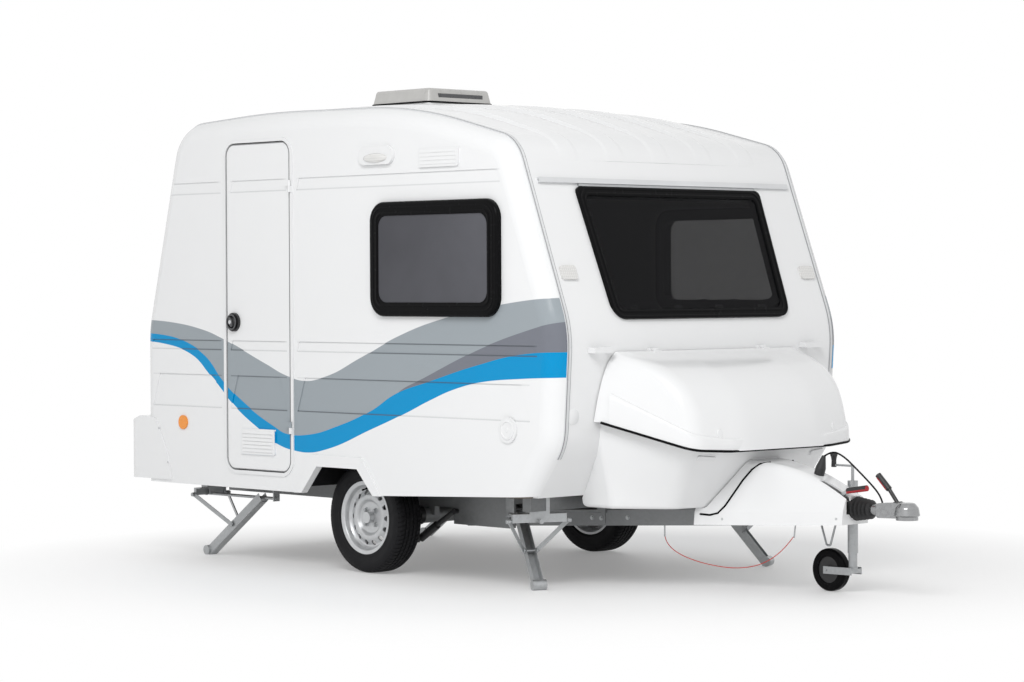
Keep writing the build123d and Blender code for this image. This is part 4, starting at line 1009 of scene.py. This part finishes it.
hatchSeal = {"x": -0.44, "half": 0.2325, "r": 0.04, "z": 2.3795, "thick": 0.0042}
# a dark strip under the dome's front edge, painted shade in the gap there
hatchGapShade = {"z": 2.412, "reach": 0.155, "ahead": 0.3, "steps": 10,
             "section": [(-0.002, -0.013), (0.0022, -0.012), (0.0022, 0.012), (-0.002, 0.013)]}


def hatchRubber(s):
    loop = roundBox(s["half"], s["half"], s["half"], s["r"], 6)
    path = [at(s["x"] + p.x, p.y, s["z"]) for p in loop]
    band = sweepBand(path, oval(s["thick"], s["thick"], 8), upward, True)
    addPiece("hatch_seal", band, "rubber", "roof_hatch")


def hatchGapStrip(s):
    n = s["steps"]
    starts = [at(s["ahead"], s["reach"] * k / n, s["z"]) for k in range(-n, n + 1)]
    path = [onSurface("hatch_dome", start, (-1, 0, 0))[0] for start in starts]
    # the dark strip is painted shade in the gap under the dome's front edge
    addPiece("hatch_slot", sweepBand(path, s["section"], upward), "trimDark", "roof_hatch")


hatchRubber(hatchSeal)
hatchGapStrip(hatchGapShade)
print("stage: locker and drawbar")

# side and shoulder are rows of width from the middle and radius; the tyre stands on the ground
tyre = {
    "hub": (0.0, 0.785, 0.276), "blocks": 72, "gap": 0.3, "ramp": 0.04, "cut": 0.0042, "slant": 17.6,
    "side": [(0.056, 0.1725), (0.067, 0.179), (0.07, 0.189), (0.0735, 0.193), (0.074, 0.206),
             (0.0785, 0.224), (0.079, 0.233), (0.0778, 0.246), (0.074, 0.258)],
    "shoulder": [(0.0705, 0.263), (0.066, 0.2685), (0.058, 0.2725), (0.05, 0.2745)],
    "grooves": {"at": (0.036, 0.0125), "half": 0.0034, "deep": 0.0065, "wall": 0.0005,
                "fall": (0.03, 0.02), "cut": (0.7, 0.5)},
    "sharp": 28.0,
}


def tyreRows(s):
    # rows of width, radius and the depth of the cuts between the blocks
    rows = [(w, r, 0.0) for w, r in s["side"]] + [(w, r, s["cut"]) for w, r in s["shoulder"]]
    g, crown = s["grooves"], s["hub"][2]
    for middle in g["at"]:
        outer, inner = middle + g["half"], middle - g["half"]
        floor = crown - g["deep"]
        rows += [(outer, crown - middle * g["fall"][0], s["cut"] * g["cut"][0]),
                 (outer - g["wall"], floor, 0.0), (inner + g["wall"], floor, 0.0),
                 (inner, crown - middle * g["fall"][1], s["cut"] * g["cut"][1])]
    return rows + [(-w, r, d) for w, r, d in reversed(rows)]


def roadTyre(side, sign, s):
    turn, gap, ramp = 2 * math.pi / s["blocks"], s["gap"], s["ramp"]
    steps = (0.0, 0), (1 - gap, 0), (1 - gap + ramp, 1), (1 - ramp, 1)
    angles = [((k + part) * turn, low) for k in range(s["blocks"]) for part, low in steps]
    centre = at(*mirrored(s["hub"], sign))
    loops = []
    for w, r, cut in tyreRows(s):
        spokes = [(r - cut * low, a + w * s["slant"] * turn) for a, low in angles]
        loops.append([centre + Vector((reach * math.cos(a), w, reach * math.sin(a))) for reach, a in spokes])
    addPiece("road_tyre_" + side, skin(loops, closed=True), "tyre", "wheel_" + side,
             replaced=("tyre_" + side,), sharp=s["sharp"])


wheelNuts = {"reach": 0.049, "count": 4, "turn": 45.0, "along": (1, 0, 0.3)}
wheelNut = join(lathe([(tip, -0.004), (0.013, -0.004), (0.0135, 0.001), (0.0105, 0.004), (tip, 0.004)], 24),
                lathe([(tip, 0.003), (0.0098, 0.003), (0.0098, 0.013), (0.0078, 0.017), (0.004, 0.0185),
                       (tip, 0.0185)], 6))
valve = {"reach": 0.146, "turn": 100.0, "tilt": -0.25}
valveStem = lathe([(tip, -0.004), (0.006, -0.004), (0.0058, 0.006), (0.0042, 0.012), (0.0042, 0.024),
                   (0.005, 0.024), (0.005, 0.033), (tip, 0.034)], 14)


def onRim(side, sign, reach, turn):
    a = math.radians(turn)
    return onSide("rim_" + side, reach * math.cos(a), tyre["hub"][2] + reach * math.sin(a), sign)


def wheelFittings(side, sign, s, v):
    turns = [s["turn"] + 360 * k / s["count"] for k in range(s["count"])]
    nuts = [(onRim(side, sign, s["reach"], turn), (0, sign, 0), s["along"]) for turn in turns]
    scatter("wheel_nuts_" + side, nuts, wheelNut, "galvanised", "wheel_" + side)
    stem = setOn(valveStem, onRim(side, sign, v["reach"], v["turn"]), (0, sign, v["tilt"]), forward)
    addPiece("valve_" + side, stem, "rubber", "wheel_" + side)


for side, sign in (("right", -1), ("left", 1)):
    roadTyre(side, sign, tyre)
    wheelFittings(side, sign, wheelNuts, valve)
print("stage: wheels")

cables = {
    "trailer_cable": {
        "length": 0.554, "diameter": 0.0084, "far": "plug", "stiffness": "stiff", "with": ("cable_plug",),
        "finish": "rubber", "route": [
            (2.430, 0.066, 0.372), (2.505, 0.072, 0.372), (2.556, 0.066, 0.410), (2.540, 0.056, 0.470),
            (2.482, 0.046, 0.528), (2.412, 0.036, 0.588), (2.352, 0.024, 0.640), (2.292, 0.012, 0.662),
            (2.252, 0.004, 0.634)]},
    "breakaway_cable": {
        "length": 0.777, "diameter": 0.004, "far": "object", "stiffness": "medium", "with": (),
        "finish": "red_cable", "route": [
            (1.525, -0.295, 0.246), (1.528, -0.293, 0.222), (1.556, -0.284, 0.186), (1.604, -0.270, 0.157),
            (1.660, -0.255, 0.138), (1.718, -0.241, 0.124), (1.776, -0.226, 0.115), (1.836, -0.211, 0.109),
            (1.896, -0.196, 0.109), (1.954, -0.181, 0.116), (2.010, -0.167, 0.131), (2.062, -0.154, 0.156),
            (2.108, -0.142, 0.190), (2.148, -0.131, 0.230), (2.178, -0.123, 0.268)]},
}


def layCable(node, s):
    curve = bpy.data.curves.new(node + "_cord", "CURVE")
    curve.dimensions, curve.bevel_depth, curve.bevel_resolution = "3D", s["diameter"] / 2, 4
    curve.use_fill_caps, curve.resolution_u = True, 12
    spline = curve.splines.new("NURBS")
    spline.points.add(len(s["route"]) - 1)
    for point, place in zip(spline.points, s["route"]):
        point.co = (*at(*place), 1)
    spline.order_u, spline.use_endpoint_u = 3, True
    finish = finishes[s["finish"]]
    curve.materials.append(finish.mat)
    obj = bpy.data.objects.new(node + "_cord", curve)
    scene.collection.objects.link(obj)
    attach(obj, "caravan")
    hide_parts(node)


for node, s in cables.items():
    layCable(node, s)
print("stage: cables")

# near the part the floor shows its shadows, lightened by a faint painted glow, and further out it fades to
# plain white
studio = {"floorHalf": 60, "floorTone": 0.97, "floorRough": 0.6, "fadeFrom": 1.9, "fadeTo": 3.3, "lift": 0.22,
          "worldTone": 0.875, "overhead": 0.5, "ceiling": (0.25, 1.0),
          "key": {"at": (4.9, -6.5, 6.6), "aim": (0, 0, 1.0), "size": (4.0, 3.5), "power": 405.0}}


def paleFloor(s):
    h = s["floorHalf"]
    corners = [(-h, -h, 0), (h, -h, 0), (h, h, 0), (-h, h, 0)]
    floor = bpy.data.objects.new("floor", meshFrom("floor", corners, [(0, 1, 2, 3)]))
    scene.collection.objects.link(floor)
    paint = Finish("pale floor", (s["floorTone"],) * 3, s["floorRough"])
    floor.data.materials.append(paint.mat)
    x, y, _ = paint.axes()
    # what is seen of the floor glows: faintly near the part, a painted light that lightens its shadows, and
    # fully further out
    far = paint.spread((x * x + y * y).op("SQRT"), s["fadeFrom"], s["fadeTo"], s["lift"], 1.0)
    glow = paint.node("ShaderNodeEmission", sockets={"Color": (1, 1, 1, 1), "Strength": 1.0})
    looks = {0: paint.seenRays() * far, 1: Sock(paint, paint.shader.outputs[0]), 2: glow}
    blend = paint.node("ShaderNodeMixShader", sockets=looks)
    end = next(n for n in paint.nt.nodes if n.type == "OUTPUT_MATERIAL")
    paint.nt.links.new(blend.out, end.inputs["Surface"])


def softWorld(s):
    # the ceiling is dimmer than the walls of the studio, and what is seen of both is plain white
    world = bpy.data.worlds.new("studio")
    scene.world = world
    world.use_nodes = True
    sky = Tree(world.node_tree)
    dim = sky.spread(sky.axes("Generated")[2], *s["ceiling"], s["worldTone"], s["worldTone"] * s["overhead"])
    level = sky.spread(sky.seenRays(), 0.0, 1.0, dim, 1.0)
    back = sky.nt.nodes["Background"]
    back.inputs["Color"].default_value = (1, 1, 1, 1)
    sky.nt.links.new(level.out, back.inputs["Strength"])


def softLamp(s):
    data = bpy.data.lights.new("key", "AREA")
    data.shape, data.energy = "RECTANGLE", s["power"]
    data.size, data.size_y = s["size"]
    obj = bpy.data.objects.new("key", data)
    scene.collection.objects.link(obj)
    aim = (Vector(s["aim"]) - Vector(s["at"])).to_track_quat("-Z", "Y").to_matrix().to_4x4()
    obj.matrix_world = Matrix.Translation(s["at"]) @ aim


def aimCamera(s):
    data = bpy.data.cameras.new("camera")
    data.lens, data.sensor_width = s["lens"], s["sensor"]
    obj = bpy.data.objects.new("camera", data)
    scene.collection.objects.link(obj)
    obj.matrix_world = viewPlace
    scene.camera = obj


scene.view_settings.view_transform = "Standard"
paleFloor(studio)
softWorld(studio)
softLamp(studio["key"])
aimCamera(camera)
print("stage: studio and camera")
